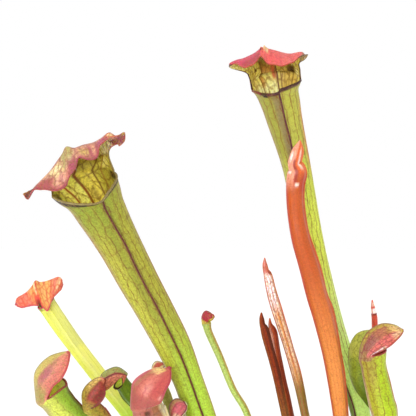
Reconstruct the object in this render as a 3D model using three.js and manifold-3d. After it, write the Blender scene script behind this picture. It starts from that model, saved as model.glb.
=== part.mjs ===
// Potted trumpet pitcher plant: a round nursery pot filled with soil, two half-buried rhizomes,
// and seventeen leaves, twelve opened pitchers with hoods and five that are still closed.
// Millimetres, +Z up. The origin is the centre of the pot's flat base. -Y is the side that is seen
// first, where the two tall pitchers show their mouths, and +X is to the right of it.
import * as THREE from 'three';
import Module from 'manifold-3d';

const wasm = await Module();
wasm.setup();

// ---------------------------------------------------------------- driving dimensions

const POT = {
  height: 120,
  baseRadius: 50,
  topRadius: 67.5, // outside of the wall just under the rim
  wall: 1.6,
  floor: 2.4,
  rimHeight: 11,
  rimOverhang: 2.5,
  edge: 1.2, // rounding of the rim and of the foot
  sides: 40,
  drainHoles: 6,
  drainRadius: 4.5,
  drainCircle: 33,
};

const SOIL = {
  top: 105, // height of the soil surface at the wall
  mound: 1.5, // how much higher it is in the middle
  lumps: 0.9, // height of its seeded lumps
  seed: 7,
  rings: [54, 41, 28, 14], // radii of its top surface's rings
};

const GAP = 0.3; // clearance between pieces that rest on each other
const WALL = 1.0; // thickness of a pitcher's wall
const BLADE = 1.0; // thickness of a hood
const RIM_FLARE = 1.0; // how far the mouth's lip turns out on a small pitcher

// ---------------------------------------------------------------- the leaves

// Each leaf is a list of stations from the soil up: [x, y, z, half width]. A pitcher ends at the
// centre of its mouth and a closed leaf at its tip. `facing` is the direction that the front of the
// leaf looks to, in degrees from +X, so -90 looks towards -Y. `depth` is the front-to-back size
// over the width. `keel` is the height of the narrow wing that runs down the front.
//
// A broad hood is three rows of points, [x, z, y] from the centre of the mouth and from left to
// right: the neck at the back, the ridge, and the free edge that hangs forward. A narrow hood is a
// helmet with two like halves. Each of its rows holds [forward and up of the ridge line, forward
// and up of the side edge, half width at the edge].

const BROAD_HOOD_LEFT = [
  [[-18, 0, 3], [-17, 2, 6], [-15.5, 4.5, 8], [-11.5, 8, 11], [-7, 10, 12.5],
    [-2.5, 11, 13], [4, 12, 12], [8.5, 14, 9], [11, 15, 6], [12.5, 15, 3]],
  [[-32, -4, -1], [-27.5, -1.5, 1], [-20.5, 5, 3], [-15.5, 10.5, 4], [-11.5, 16, 5],
    [-7.5, 19.5, 5], [4, 22, 5], [11.5, 26.5, 3], [15, 22.5, 1], [18, 21, 0]],
  [[-29, -7, -3], [-27, -3.5, -2], [-22, -2, -5], [-16, -3, -10], [-9, 1.5, -10],
    [-3.5, 15.5, -5], [3.5, 13.5, -7], [8.5, 19, -5], [15.5, 24.5, -1], [20.5, 28, -2]],
];

const BROAD_HOOD_TALL = [
  [[-15, 5.5, 3], [-13, 6.5, 6], [-10, 7, 9], [-6, 7.5, 10.5], [-2, 8, 11],
    [1.5, 8.5, 10.5], [6, 9.5, 9], [10.5, 10, 6], [13, 10, 3]],
  [[-21.5, 7.5, 0], [-18.5, 13, 1], [-14, 14.5, 2], [-10.5, 17, 3], [-6.5, 21.5, 3],
    [-1.5, 19, 3], [4.5, 17, 2], [10.5, 16.5, 1], [15.5, 16, 0]],
  [[-25.5, 10, -1], [-20.5, 10.5, -5], [-14.5, 9.5, -9], [-11, 11.5, -10], [-8.5, 15.5, -7],
    [-4.5, 11.5, -10], [2.5, 9.5, -11], [11.5, 13.5, -6], [18.5, 16, -1]],
];

const BOW_TIE_HOOD = [
  [[-5, 0, 2], [-5.5, 2.5, 4], [-4.5, 5.5, 5], [-2.5, 8, 5.5], [0.5, 8.5, 5],
    [3.5, 7, 4], [5, 4, 2]],
  [[-16, 0, 1], [-15, 3.5, 1.5], [-9.5, 7, 2], [-6, 12, 2], [0, 12, 2],
    [5.5, 14.5, 1.5], [9, 11.5, 1]],
  [[-15, -2.5, -1], [-12, -2.5, -2], [-6.5, -1.5, -5], [0.5, -4, -7.5], [3, 1, -6.5],
    [6.5, 6, -3], [9, 8.5, -1]],
];

const LEAVES = [
  {
    name: 'pitcher_big_left', colour: '#a3b23c', facing: -76, depth: 0.85, keel: 2.2, flare: 0,
    drop: 4, roll: 5, back: 12, cavity: 5, broadHood: BROAD_HOOD_LEFT,
    stations: [
      [-18.5, -8, 97, 4.2], [-21, -8, 103, 4.2], [-28, -9, 122, 5], [-38.5, -10, 150, 6.8],
      [-49, -11, 180.5, 8.1], [-56, -14, 202, 8.2], [-63.5, -18, 221.5, 9.4],
      [-72.5, -22, 240.5, 10.1], [-82.5, -27, 260.5, 10.7], [-92.2, -33, 281, 11.5],
      [-101, -38, 299, 13.2], [-105, -40, 307, 14.8], [-109.3, -42, 313, 17],
    ],
  },
  {
    name: 'pitcher_tall', colour: '#bfd24e', facing: -88, depth: 0.85, keel: 1.8, flare: 0,
    drop: 3.5, back: 12, cavity: 6, broadHood: BROAD_HOOD_TALL,
    stations: [
      [48.5, 10, 97, 3.8], [49, 10, 103, 3.8], [49.5, 10.5, 118, 4.2], [47, 11.5, 145, 5],
      [41.5, 12.5, 176.5, 5.8], [35.5, 13, 196, 6.4], [27.5, 12.5, 218.5, 6.7],
      [20.5, 11, 243, 6.9], [13.5, 9, 271, 7], [7.5, 7, 299.5, 7.4], [3.3, 6, 320, 7.8],
      [-3, 4, 343.5, 9.7], [-5, 3.5, 351.5, 10.5], [-7, 3, 358.5, 11.5], [-8, 2, 363.5, 13.8],
    ],
  },
  {
    name: 'pitcher_lime', colour: '#d9ee5e', facing: -80, depth: 0.8, keel: 0.8, flare: 0.3,
    drop: 1.2, back: 22.5, cavity: 7, broadHood: BOW_TIE_HOOD,
    stations: [
      [-39, 10, 97, 3.2], [-43, 10, 104, 3.2], [-53, 12, 121, 3.3], [-72, 14, 148, 3.8],
      [-92, 16, 176, 4.3], [-100, 17, 186.5, 4.6], [-111, 18, 200.5, 4.8],
      [-120.5, 19, 213, 4.9], [-128.5, 19, 224.5, 5.1], [-134.5, 20, 233.5, 5.2],
      [-137.5, 20, 238, 5.2],
    ],
  },
  {
    name: 'pitcher_hooded_left', colour: '#a8d040', facing: -15, depth: 1, keel: 1,
    drop: -1, back: 22.5, cavity: 5,
    stations: [
      [-44, -4, 97, 3.5], [-49, -5.5, 104.5, 3.5], [-62, -8.5, 124, 3.7], [-81, -12, 142, 4.8],
      [-104, -16, 164, 6.7], [-121.5, -19, 184, 8.3], [-126.5, -21.5, 191.5, 8.7],
      [-130.5, -25, 198.5, 9],
    ],
    helmet: [[-9, 10.5, 4.5, 4, 8.6], [-3, 17.5, 8, 11.5, 6.2], [9, 21.8, 10, 19, 2]],
  },
  {
    name: 'pitcher_hooded_olive', colour: '#a8a83a', facing: -15, depth: 1, keel: 0.8,
    drop: 0, back: 30, cavity: 5,
    stations: [
      [-43, -16, 97, 2.8], [-49, -17.5, 107, 2.8], [-62, -20.5, 126, 3], [-84, -24, 156, 3.8],
      [-103, -26.5, 183.5, 4.8], [-106, -27, 188, 4.7], [-108.6, -27.5, 191.2, 4.7],
    ],
    helmet: [[-4.5, 8, 5.5, 3, 4.8], [0.5, 13, 8, 6.5, 4.4], [8, 14, 8.8, 11.5, 1.5]],
  },
  {
    name: 'pitcher_hooded_arching', colour: '#5f9a2a', facing: -165, depth: 1, keel: 0.8,
    drop: 0, back: 30, cavity: 6,
    stations: [
      [-34, -3, 97, 2.6], [-37, -3, 104, 2.6], [-45, -3, 121, 2.8], [-60, -4, 148, 3.6],
      [-78.5, -5, 179, 4.5], [-83, -6, 185.5, 4.3], [-88, -7, 192, 4.3], [-91.5, -8, 197, 4.1],
      [-94.5, -8, 200.5, 4.4],
    ],
    helmet: [[1, 7, 2.5, 2, 4.6], [7, 5.5, 6.5, -1.5, 3.8], [11, 0, 10, -5.5, 1.5]],
  },
  {
    name: 'pitcher_hooded_pink', colour: '#c98a70', facing: -20, depth: 1, keel: 1,
    drop: 0, back: 22.5, cavity: 4,
    stations: [
      [-34, -22, 97, 3.6], [-38, -23, 106, 3.6], [-49, -26, 130, 4.6], [-66, -31, 162, 7],
      [-76, -33, 187, 8.7], [-77.5, -33.5, 191, 8.4], [-78.5, -34, 194.5, 8],
    ],
    helmet: [[-8.5, 11, 8, 3.5, 8], [-2.5, 16.5, 11.5, 8.5, 6.6], [11, 19.8, 12.8, 16.6, 2.2]],
  },
  {
    name: 'pitcher_small_back', colour: '#a6bf45', facing: -15, depth: 1, keel: 0.6,
    drop: 0, back: 30, cavity: 3,
    stations: [
      [-31, 14, 97, 2.2], [-37, 14, 116, 2.2], [-50, 12, 148, 2.4], [-65.5, 10, 178, 2.7],
      [-69.5, 10, 187.5, 2.8], [-72.5, 10, 194.5, 2.9], [-73.5, 10, 199.5, 3.1],
    ],
    helmet: [[-3, 4, 2.4, 1.8, 3], [-0.8, 6.8, 3.4, 3.4, 2.4], [3, 6, 3.6, 4.7, 1]],
  },
  {
    name: 'pitcher_small_front', colour: '#c58a70', facing: -15, depth: 1, keel: 0.6,
    drop: 0, back: 30, cavity: 3,
    stations: [
      [-22, -28, 97, 2.6], [-24, -28, 104, 2.6], [-31, -28, 120, 2.8], [-45, -27, 150, 3.4],
      [-60, -25, 179, 4.1], [-61.5, -26, 184.5, 4.2],
    ],
    helmet: [[-4.2, 6.5, 3, 2.6, 4.2], [-1, 10, 4.6, 4.6, 3.4], [3.5, 8.5, 4.8, 6.4, 1.2]],
  },
  {
    name: 'pitcher_slender', colour: '#9cc455', facing: -45, depth: 1, keel: 0.5,
    drop: 0, back: 36, cavity: 5,
    stations: [
      [-10, 8, 97, 1.9], [-11.5, 8, 115, 1.9], [-16, 9, 145, 1.9], [-22.5, 10, 174.5, 1.9],
      [-31, 10, 190.5, 1.9], [-38.5, 10, 209, 2], [-42.5, 10, 218, 2], [-45, 10, 224, 2.1],
      [-46, 10, 228.5, 2.4],
    ],
    helmet: [[-2.6, 3.5, 1.8, 1.4, 2.6], [-0.5, 6.8, 3.4, 3.2, 2.4], [3.6, 5.4, 4.4, 4.2, 0.9]],
  },
  {
    name: 'pitcher_hooded_right', colour: '#b8d236', facing: -15, depth: 1, keel: 0.6,
    drop: 0, back: 22.5, cavity: 5,
    stations: [
      [43.5, -17, 97, 3.6], [44.5, -17, 105, 3.6], [47, -18, 120, 4], [52, -19, 150, 5.6],
      [51.5, -20, 182, 6.8], [49.5, -20, 191, 7], [47.5, -20, 199.5, 6.9], [45.5, -20, 208, 6.8],
      [44.6, -20, 215.5, 7],
    ],
    helmet: [
      [-6, 9.5, 3.6, 3.4, 7], [0.6, 17, 7.6, 6.6, 6], [9.7, 19.3, 11.8, 11, 3.8],
      [16, 17, 16.2, 15.4, 1.2],
    ],
  },
  {
    name: 'pitcher_hooded_green', colour: '#8aa028', facing: -15, depth: 1, keel: 1,
    drop: 0, back: 22.5, cavity: 5,
    stations: [
      [51.5, -3.5, 97, 3.4], [52.5, -3.5, 105, 3.4], [55, -3, 120, 3.8], [58, -2, 148, 4.8],
      [53, -1, 179, 5.6], [47.5, -1.5, 189, 6], [42.5, -2, 196, 6.2], [40, -2, 202.5, 6.4],
      [40, -2, 209, 6.6],
    ],
    helmet: [
      [-6, 9.5, 3.4, 2.8, 6.8], [-1.8, 16.3, 7, 5.4, 6], [5.9, 17.8, 10, 8.4, 4],
      [11.5, 14, 12, 12, 1.2],
    ],
  },
  {
    name: 'pitcher_unopened_orange', colour: '#dd6a3a', facing: 0, depth: 1, keel: 0.8,
    stations: [
      [31, -13, 97, 2.8], [31.5, -13.3, 106, 2.8], [32, -14, 120, 3], [31, -16, 150, 3.5],
      [27.5, -18, 182.5, 4.1], [23, -20, 213, 4.9], [17.5, -23, 237.5, 5.5], [13, -24, 252, 5.4],
      [9, -25, 267, 5.4], [4.5, -26, 281.5, 4.9], [2, -26, 293.5, 4.5], [1, -26, 303, 4.5],
      [1, -26, 312, 4.8], [1.8, -26, 318, 5.2], [1.4, -26, 320.4, 4.6], [0.4, -26, 323, 3.3],
      [1.4, -26.5, 327, 3.2], [2.3, -27, 330.5, 2.7], [3.2, -27, 333.5, 1.5],
      [3.5, -27, 335, 0.5],
    ],
  },
  {
    name: 'pitcher_unopened_veined', colour: '#d9a07a', facing: 0, depth: 1, keel: 0.5,
    stations: [
      [21, -5, 97, 2], [20.5, -5, 106, 2], [20, -5, 118, 2], [16, -5.5, 148, 2.1],
      [9, -6, 179, 2.2], [4.5, -6, 200, 2.5], [-1.5, -6, 221, 2.6], [-8, -6, 241.5, 2.7],
      [-10.5, -6, 250.5, 2.5], [-12.3, -6, 258.5, 2.1], [-13.5, -6, 261.5, 1.4],
      [-14, -6, 265, 1.2], [-14, -6, 268.5, 0.4],
    ],
  },
  {
    name: 'pitcher_unopened_brown', colour: '#6f3018', facing: 0, depth: 1, keel: 0.5,
    stations: [
      [10.5, -12, 97, 1.8], [10, -12, 106, 1.8], [9, -12, 118, 1.8], [4, -12, 148, 1.8],
      [-2.5, -12, 181, 2], [-8, -14, 206.5, 2.1], [-13, -15.5, 225, 2.2],
      [-14.5, -16, 231, 2], [-15.6, -16, 233.5, 1.3], [-16, -16, 237, 1.1],
      [-16, -16, 240, 0.4],
    ],
  },
  {
    name: 'pitcher_unopened_red', colour: '#a84a2a', facing: 0, depth: 1, keel: 0.5,
    stations: [
      [9, 5, 97, 1.9], [9, 5, 106, 1.9], [8.5, 4.5, 115, 1.9], [5, 3, 145, 2],
      [0.5, 0.5, 178, 2.3], [-5.5, -3, 205, 2.2], [-8.5, -4.5, 223.5, 2],
      [-9.6, -5, 228, 1.8], [-10.7, -5, 231, 1.1], [-11, -5, 234.5, 0.4],
    ],
  },
  {
    name: 'pitcher_unopened_tip', colour: '#e05a40', facing: 0, depth: 1, keel: 0.4,
    stations: [
      [50, 27, 97, 1.9], [51, 27.5, 106, 1.9], [53, 28.5, 118, 1.9], [55.5, 30, 145, 1.9],
      [54, 30, 171, 1.9], [52, 30, 204, 1.9], [51, 30, 224.5, 1.6], [50.7, 30, 228, 1.5],
      [50.2, 30, 231, 1.3], [49.7, 30, 234.5, 0.9], [49.5, 30, 237.5, 0.4],
    ],
  },
];

// The rhizomes creep along the surface between the feet of the leaves: [x, y, z, radius].
const RHIZOMES = [
  {
    name: 'rhizome_left',
    stations: [
      [-27.5, -1.5, 102, 3.4], [-26.5, 1.5, 102.5, 5.2], [-24, 8, 103, 4.7],
      [-21, 14.5, 103, 5.4], [-17.5, 20.5, 102, 4.6], [-16, 23, 101, 3],
    ],
  },
  {
    name: 'rhizome_right',
    stations: [
      [37.5, -3, 102, 3.4], [36.5, 0, 102.5, 5.2], [33, 7, 103, 4.8],
      [29, 14, 103, 5.6], [24.5, 20, 102, 4.6], [23, 22.5, 101, 3],
    ],
  },
];

const COLOURS = { pot: '#2f2f2e', soil: '#4a3526', rhizome: '#7a4a38' };

// ---------------------------------------------------------------- curves and frames

const UP = new THREE.Vector3(0, 0, 1);

// Catmull-Rom value through a list of equally long number arrays, at t from 0 to its last index.
function through(points, t) {
  const last = points.length - 1;
  const i = Math.min(Math.floor(t), last - 1);
  const f = t - i;
  const [b, c] = [points[i], points[i + 1]];
  const a = i > 0 ? points[i - 1] : b.map((v, k) => 2 * v - c[k]);
  const d = i + 2 <= last ? points[i + 2] : c.map((v, k) => 2 * v - b[k]);
  return b.map((v, k) =>
    v + 0.5 * f * (c[k] - a[k] + f * (2 * a[k] - 5 * v + 4 * c[k] - d[k]
      + f * (3 * (v - c[k]) + d[k] - a[k]))));
}

function facingVector(degrees) {
  const a = THREE.MathUtils.degToRad(degrees);
  return new THREE.Vector3(Math.cos(a), Math.sin(a), 0);
}

// Sections along a stem: centre, half width, and the axes front, side and along.
function sections(stations, spans, facing) {
  const count = (stations.length - 1) * spans + 1;
  const values = Array.from({ length: count }, (_, i) => through(stations, i / spans));
  const centres = values.map(([x, y, z]) => new THREE.Vector3(x, y, z));
  return values.map(([, , , half], i) => {
    const before = centres[Math.max(i - 1, 0)];
    const after = centres[Math.min(i + 1, count - 1)];
    const along = after.clone().sub(before).normalize();
    const front = facingVector(facing);
    front.addScaledVector(along, -front.dot(along)).normalize();
    return { centre: centres[i], half, front, along, side: along.clone().cross(front) };
  });
}

// ---------------------------------------------------------------- meshes and solids

function geometryOf(points, triangles) {
  const g = new THREE.BufferGeometry();
  g.setAttribute('position', new THREE.Float32BufferAttribute(points.flatMap((p) => p.toArray()), 3));
  g.setIndex(triangles.flat());
  return g;
}

function solidOf(geometry) {
  return new wasm.Manifold(new wasm.Mesh({
    numProp: 3,
    vertProperties: new Float32Array(geometry.attributes.position.array),
    triVerts: new Uint32Array(geometry.index.array),
  }));
}

function geometryFrom(solid) {
  const mesh = solid.getMesh();
  const g = new THREE.BufferGeometry();
  g.setAttribute('position', new THREE.BufferAttribute(mesh.vertProperties, 3));
  g.setIndex(new THREE.BufferAttribute(mesh.triVerts, 1));
  return g;
}

// Rings of equal count, joined in order and closed at both ends by a fan round the given centres.
function loft(rings, firstCentre, lastCentre) {
  const n = rings[0].length;
  const points = [...rings.flat(), firstCentre, lastCentre];
  const [first, last] = [points.length - 2, points.length - 1];
  const top = (rings.length - 1) * n;
  const triangles = [];
  for (let k = 0; k < n; k++) {
    const next = (k + 1) % n;
    triangles.push([first, next, k], [last, top + k, top + next]);
    for (let j = 0; j < rings.length - 1; j++) {
      const [a, b] = [j * n + k, j * n + next];
      triangles.push([a, b, b + n], [a, b + n, a + n]);
    }
  }
  return geometryOf(points, triangles);
}

function circle(radius, z, sides, height = () => 0) {
  return Array.from({ length: sides }, (_, k) => {
    const a = (2 * Math.PI * k) / sides;
    const [x, y] = [radius * Math.cos(a), radius * Math.sin(a)];
    return new THREE.Vector3(x, y, z + height(x, y));
  });
}

function node(name, geometry, colour, roughness) {
  const material = new THREE.MeshStandardMaterial({ color: colour, roughness, metalness: 0 });
  const mesh = new THREE.Mesh(geometry, material);
  mesh.name = name;
  return mesh;
}

// ---------------------------------------------------------------- pot and soil

const wallRadius = (z) => THREE.MathUtils.lerp(POT.baseRadius, POT.topRadius, z / POT.height);

function pot() {
  const { edge, height: h, rimHeight, rimOverhang, wall, floor } = POT;
  const rim = wallRadius(h) + rimOverhang;
  const inner = (z) => wallRadius(z) - wall;
  const profile = [
    [POT.baseRadius - edge, 0], [POT.baseRadius, edge], [wallRadius(h - rimHeight), h - rimHeight],
    [rim - edge / 2, h - rimHeight + edge / 2], [rim, h - rimHeight + edge], [rim, h - edge],
    [rim - edge / 2, h], [inner(h) + edge / 2, h], [inner(h - edge), h - edge],
    [inner(floor + edge), floor + edge], [inner(floor) - edge, floor],
  ];
  const rings = profile.map(([r, z]) => circle(r, z, POT.sides));
  let solid = solidOf(loft(rings, new THREE.Vector3(), new THREE.Vector3(0, 0, floor)));
  for (let i = 0; i < POT.drainHoles; i++) {
    const a = (2 * Math.PI * (i + 0.5)) / POT.drainHoles;
    const at = new THREE.Vector3(Math.cos(a), Math.sin(a), 0).multiplyScalar(POT.drainCircle);
    const ends = [-1, floor + 1].map((z) => circle(POT.drainRadius, z, 12).map((p) => p.add(at)));
    const centres = [-1, floor + 1].map((z) => at.clone().setZ(z));
    solid = solid.subtract(solidOf(loft(ends, ...centres)));
  }
  return geometryFrom(solid);
}

// Seeded numbers between 0 and 1.
function seeded(seed) {
  let s = seed;
  return () => {
    s = (s * 16807) % 2147483647;
    return s / 2147483647;
  };
}

function soil(holes) {
  const random = seeded(SOIL.seed);
  const lump = () => SOIL.lumps * (random() - 0.5);
  const floor = POT.floor + GAP;
  const fit = (z) => wallRadius(z) - POT.wall - GAP;
  const mound = (x, y) => SOIL.mound * (1 - Math.hypot(x, y) / wallRadius(SOIL.top)) + lump();
  const rings = [
    circle(fit(floor) - POT.edge, floor, POT.sides),
    circle(fit(floor + POT.edge), floor + POT.edge, POT.sides),
    circle(fit(SOIL.top), SOIL.top, POT.sides),
    ...SOIL.rings.map((r) => circle(r, SOIL.top, POT.sides, mound)),
  ];
  const centre = new THREE.Vector3(0, 0, SOIL.top + SOIL.mound);
  let solid = solidOf(loft(rings, new THREE.Vector3(0, 0, floor), centre));
  for (const hole of holes) solid = solid.subtract(hole);
  return geometryFrom(solid);
}

// ---------------------------------------------------------------- stems, leaves and rhizomes

// Angles round a section from its front: closer together beside the keel, and `back` degrees
// apart from 90 to 270, where the hood grows.
function roundAngles(back) {
  const front = back < 20 ? [14, 42, 68] : [18, 55];
  const rear = [];
  for (let a = 90; a <= 270; a += back) rear.push(a);
  return [0, ...front, ...rear, ...front.map((a) => 360 - a).reverse()];
}

function sectionRing(section, angles, { depth, keel = 0, inset = 0, drop = 0, roll = 0, grow = 0 }) {
  const half = section.half - inset + grow;
  return angles.map((angle) => {
    const a = THREE.MathUtils.degToRad(angle);
    const forward = half * depth * Math.cos(a) + (angle === 0 ? keel : 0);
    return section.centre.clone()
      .addScaledVector(section.front, forward)
      .addScaledVector(section.side, half * Math.sin(a))
      .addScaledVector(section.along, -drop * Math.cos(a) - roll * Math.sin(a));
  });
}

// The keel fades in over the foot and out below the mouth or the tip.
function keelAt(leaf, i, count) {
  const foot = THREE.MathUtils.smoothstep(i, 1, 4);
  const head = THREE.MathUtils.smoothstep(count - 1 - i, 0, 2);
  return leaf.keel * foot * head;
}

// A closed leaf is one solid stem up to its tip.
function closedLeaf(leaf) {
  const cuts = sections(leaf.stations, 1, leaf.facing);
  const angles = roundAngles(30);
  const rings = cuts.map((s, i) =>
    sectionRing(s, angles, { depth: leaf.depth, keel: keelAt(leaf, i, cuts.length) }));
  const tip = cuts.at(-1).centre.clone().addScaledVector(cuts.at(-1).along, cuts.at(-1).half);
  return loft(rings, cuts[0].centre, tip);
}

// The hood's rows of points above the mouth, each from the +side end of the mouth to the other.
function hoodRows(leaf) {
  const mouth = new THREE.Vector3(...leaf.stations.at(-1).slice(0, 3));
  if (leaf.broadHood) {
    return leaf.broadHood.map((row) => row
      .map(([x, z, y]) => mouth.clone().add(new THREE.Vector3(x, y, z)))
      .reverse());
  }
  const front = facingVector(leaf.facing);
  const side = UP.clone().cross(front);
  const place = (f, s, h) => mouth.clone()
    .addScaledVector(front, f).addScaledVector(side, s).addScaledVector(UP, h);
  return leaf.helmet.map(([ridgeF, ridgeH, edgeF, edgeH, w]) => {
    const [f, h] = [ridgeF * 0.62 + edgeF * 0.38, ridgeH * 0.62 + edgeH * 0.38];
    return [
      place(edgeF, w, edgeH), place(f, w * 0.92, h), place(ridgeF, 0, ridgeH),
      place(f, -w * 0.92, h), place(edgeF, -w, edgeH),
    ];
  });
}

// A point of the net at u across and v up, both from 0 to 1.
function onNet(net, u, v) {
  const column = net.map((row) => through(row.map((p) => p.toArray()), u * (row.length - 1)));
  return new THREE.Vector3(...through(column, v * (net.length - 1)));
}

// The middle surface of the hood: `rows` rows above the mouth, on the columns of its back arc.
function hoodSurface(leaf, arc, rows) {
  const above = hoodRows(leaf);
  const columns = above[0].length;
  const root = Array.from({ length: columns }, (_, i) =>
    new THREE.Vector3(...through(arc.map((p) => p.toArray()), (i * (arc.length - 1)) / (columns - 1))));
  const net = [root, ...above];
  return Array.from({ length: rows }, (_, j) =>
    arc.map((_, k) => onNet(net, k / (arc.length - 1), (j + 1) / rows)));
}

// A surface moved along its own normals by `by`, which points away from the leaf's hollow.
function offsetRows(below, rows, by) {
  const all = [below, ...rows];
  return rows.map((row, j) => row.map((p, k) => {
    const across = row[Math.min(k + 1, row.length - 1)].clone().sub(row[Math.max(k - 1, 0)]);
    const up = all[Math.min(j + 2, all.length - 1)][k].clone().sub(all[j][k]);
    return p.clone().addScaledVector(across.cross(up).normalize(), by);
  }));
}

// An opened pitcher: solid foot, hollow trumpet, and the hood that grows from the mouth's back.
function pitcher(leaf) {
  const cuts = sections(leaf.stations, 1, leaf.facing);
  const angles = roundAngles(leaf.back);
  const n = angles.length;
  const lastCut = cuts.length - 1;
  const flare = leaf.flare ?? Math.min(RIM_FLARE, cuts[lastCut].half * 0.1);
  const options = (i) => {
    const share = [0, 0.5, 1][Math.max(0, i - lastCut + 2)];
    return {
      depth: leaf.depth,
      drop: leaf.drop * share,
      roll: (leaf.roll ?? 0) * share,
      grow: i === lastCut ? flare : 0,
    };
  };
  const outer = cuts.map((s, i) =>
    sectionRing(s, angles, { ...options(i), keel: keelAt(leaf, i, cuts.length) }));
  const inner = cuts.slice(leaf.cavity).map((s, i) =>
    sectionRing(s, angles, { ...options(i + leaf.cavity), inset: WALL }));

  const back = angles.flatMap((a, k) => (a >= 90 && a <= 270 ? [k] : []));
  const middle = (k) => outer.at(-1)[k].clone().lerp(inner.at(-1)[k], 0.5);
  const arc = back.map(middle);
  const surface = hoodSurface(leaf, arc, leaf.broadHood ? 6 : 5);
  const hoodOut = offsetRows(arc, surface, BLADE / 2);
  const hoodIn = offsetRows(arc, surface, -BLADE / 2);

  const points = [];
  const keep = (ring) => ring.map((p) => points.push(p) - 1);
  const outside = outer.map(keep);
  const inside = inner.map(keep);
  const hoodOutside = [back.map((k) => outside.at(-1)[k]), ...hoodOut.map(keep)];
  const hoodInside = [back.map((k) => inside.at(-1)[k]), ...hoodIn.map(keep)];
  const [foot, hollow] = keep([cuts[0].centre, cuts[leaf.cavity].centre]);

  const triangles = [];
  const quad = (a, b, c, d) => triangles.push([a, b, c], [a, c, d]);
  for (let k = 0; k < n; k++) {
    const next = (k + 1) % n;
    triangles.push([foot, outside[0][next], outside[0][k]], [hollow, inside[0][k], inside[0][next]]);
    for (let j = 0; j < outside.length - 1; j++)
      quad(outside[j][k], outside[j][next], outside[j + 1][next], outside[j + 1][k]);
    for (let j = 0; j < inside.length - 1; j++) {
      const [a, b] = [inside[j][k], inside[j][next]];
      const [c, d] = [inside[j + 1][next], inside[j + 1][k]];
      triangles.push([a, c, b], [a, d, c]);
    }
    const underHood = back.includes(k) && back.includes(next);
    if (!underHood)
      quad(outside.at(-1)[k], outside.at(-1)[next], inside.at(-1)[next], inside.at(-1)[k]);
  }
  const rows = hoodOutside.length;
  const ends = [0, back.length - 1];
  for (let j = 0; j < rows - 1; j++) {
    const [o, oUp, i, iUp] = [hoodOutside[j], hoodOutside[j + 1], hoodInside[j], hoodInside[j + 1]];
    for (let k = 0; k < ends[1]; k++) {
      quad(o[k], o[k + 1], oUp[k + 1], oUp[k]);
      triangles.push([i[k], iUp[k + 1], i[k + 1]], [i[k], iUp[k], iUp[k + 1]]);
    }
    quad(o[ends[0]], oUp[ends[0]], iUp[ends[0]], i[ends[0]]);
    quad(oUp[ends[1]], o[ends[1]], i[ends[1]], iUp[ends[1]]);
  }
  for (let k = 0; k < ends[1]; k++)
    quad(hoodOutside[rows - 1][k], hoodOutside[rows - 1][k + 1],
      hoodInside[rows - 1][k + 1], hoodInside[rows - 1][k]);
  return geometryOf(points, triangles);
}

function rhizome({ stations }, grow = 0) {
  const cuts = sections(stations, 2, 0);
  const angles = roundAngles(30);
  const rings = cuts.map((s) => sectionRing(s, angles, { depth: 1, grow }));
  const end = (s, sign) => s.centre.clone().addScaledVector(s.along, sign * (1 + grow));
  return loft(rings, end(cuts[0], -1), end(cuts.at(-1), 1));
}

// The hole in the soil that a leaf's foot stands in.
function footHole(leaf) {
  const cuts = sections(leaf.stations, 1, leaf.facing).slice(0, 3);
  const angles = roundAngles(30);
  const rings = cuts.map((s, i) =>
    sectionRing(s, angles, { depth: leaf.depth, grow: GAP * 1.6, keel: keelAt(leaf, i, 9) }));
  const below = cuts[0].along.clone().multiplyScalar(-GAP);
  rings[0].forEach((p) => p.add(below));
  return solidOf(loft(rings, cuts[0].centre.clone().add(below), cuts[2].centre));
}

// ---------------------------------------------------------------- the plant in its pot

const plant = new THREE.Group();
const holes = [...LEAVES.map(footHole), ...RHIZOMES.map((r) => solidOf(rhizome(r, GAP * 1.6)))];
plant.add(node('pot', pot(), COLOURS.pot, 0.55));
plant.add(node('soil', soil(holes), COLOURS.soil, 0.95));
for (const r of RHIZOMES) plant.add(node(r.name, rhizome(r), COLOURS.rhizome, 0.8));
for (const leaf of LEAVES) {
  const geometry = leaf.broadHood || leaf.helmet ? pitcher(leaf) : closedLeaf(leaf);
  plant.add(node(leaf.name, geometry, leaf.colour, 0.45));
}

export default plant;
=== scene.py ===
"""Looks of the potted trumpet pitcher plant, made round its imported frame.

Sizes are millimetres until a mesh is made. Each leaf is one skin: the outside of its tube, the
hollow inside, both faces of the hood and the rolled margin that joins them. The pot is turned and
drilled, the soil is a lumpy ground with loose grains and moss on it, and dry scales wrap the
creeping stems.
"""

import math
from collections import namedtuple

import bmesh
import bpy
import numpy as np
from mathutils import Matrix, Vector, noise


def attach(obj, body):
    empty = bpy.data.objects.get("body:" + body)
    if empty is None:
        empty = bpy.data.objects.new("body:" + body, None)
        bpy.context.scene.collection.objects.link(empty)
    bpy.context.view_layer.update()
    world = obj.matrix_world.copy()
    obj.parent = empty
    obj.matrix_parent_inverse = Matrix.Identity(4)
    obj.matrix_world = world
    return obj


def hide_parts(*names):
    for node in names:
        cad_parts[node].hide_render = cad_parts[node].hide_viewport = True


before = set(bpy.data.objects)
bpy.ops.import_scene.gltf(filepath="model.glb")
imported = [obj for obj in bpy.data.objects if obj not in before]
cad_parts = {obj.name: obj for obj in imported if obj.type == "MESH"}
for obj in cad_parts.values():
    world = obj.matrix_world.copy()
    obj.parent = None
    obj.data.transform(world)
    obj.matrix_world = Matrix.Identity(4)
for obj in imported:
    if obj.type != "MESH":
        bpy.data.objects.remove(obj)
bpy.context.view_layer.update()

MM = 0.001

# ---------------------------------------------------------------- the leaves' places and sizes

# Broad hoods: rows of points round the hood, from the mouth to its margin, measured from the mouth's
# middle to the right, up and back.

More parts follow.
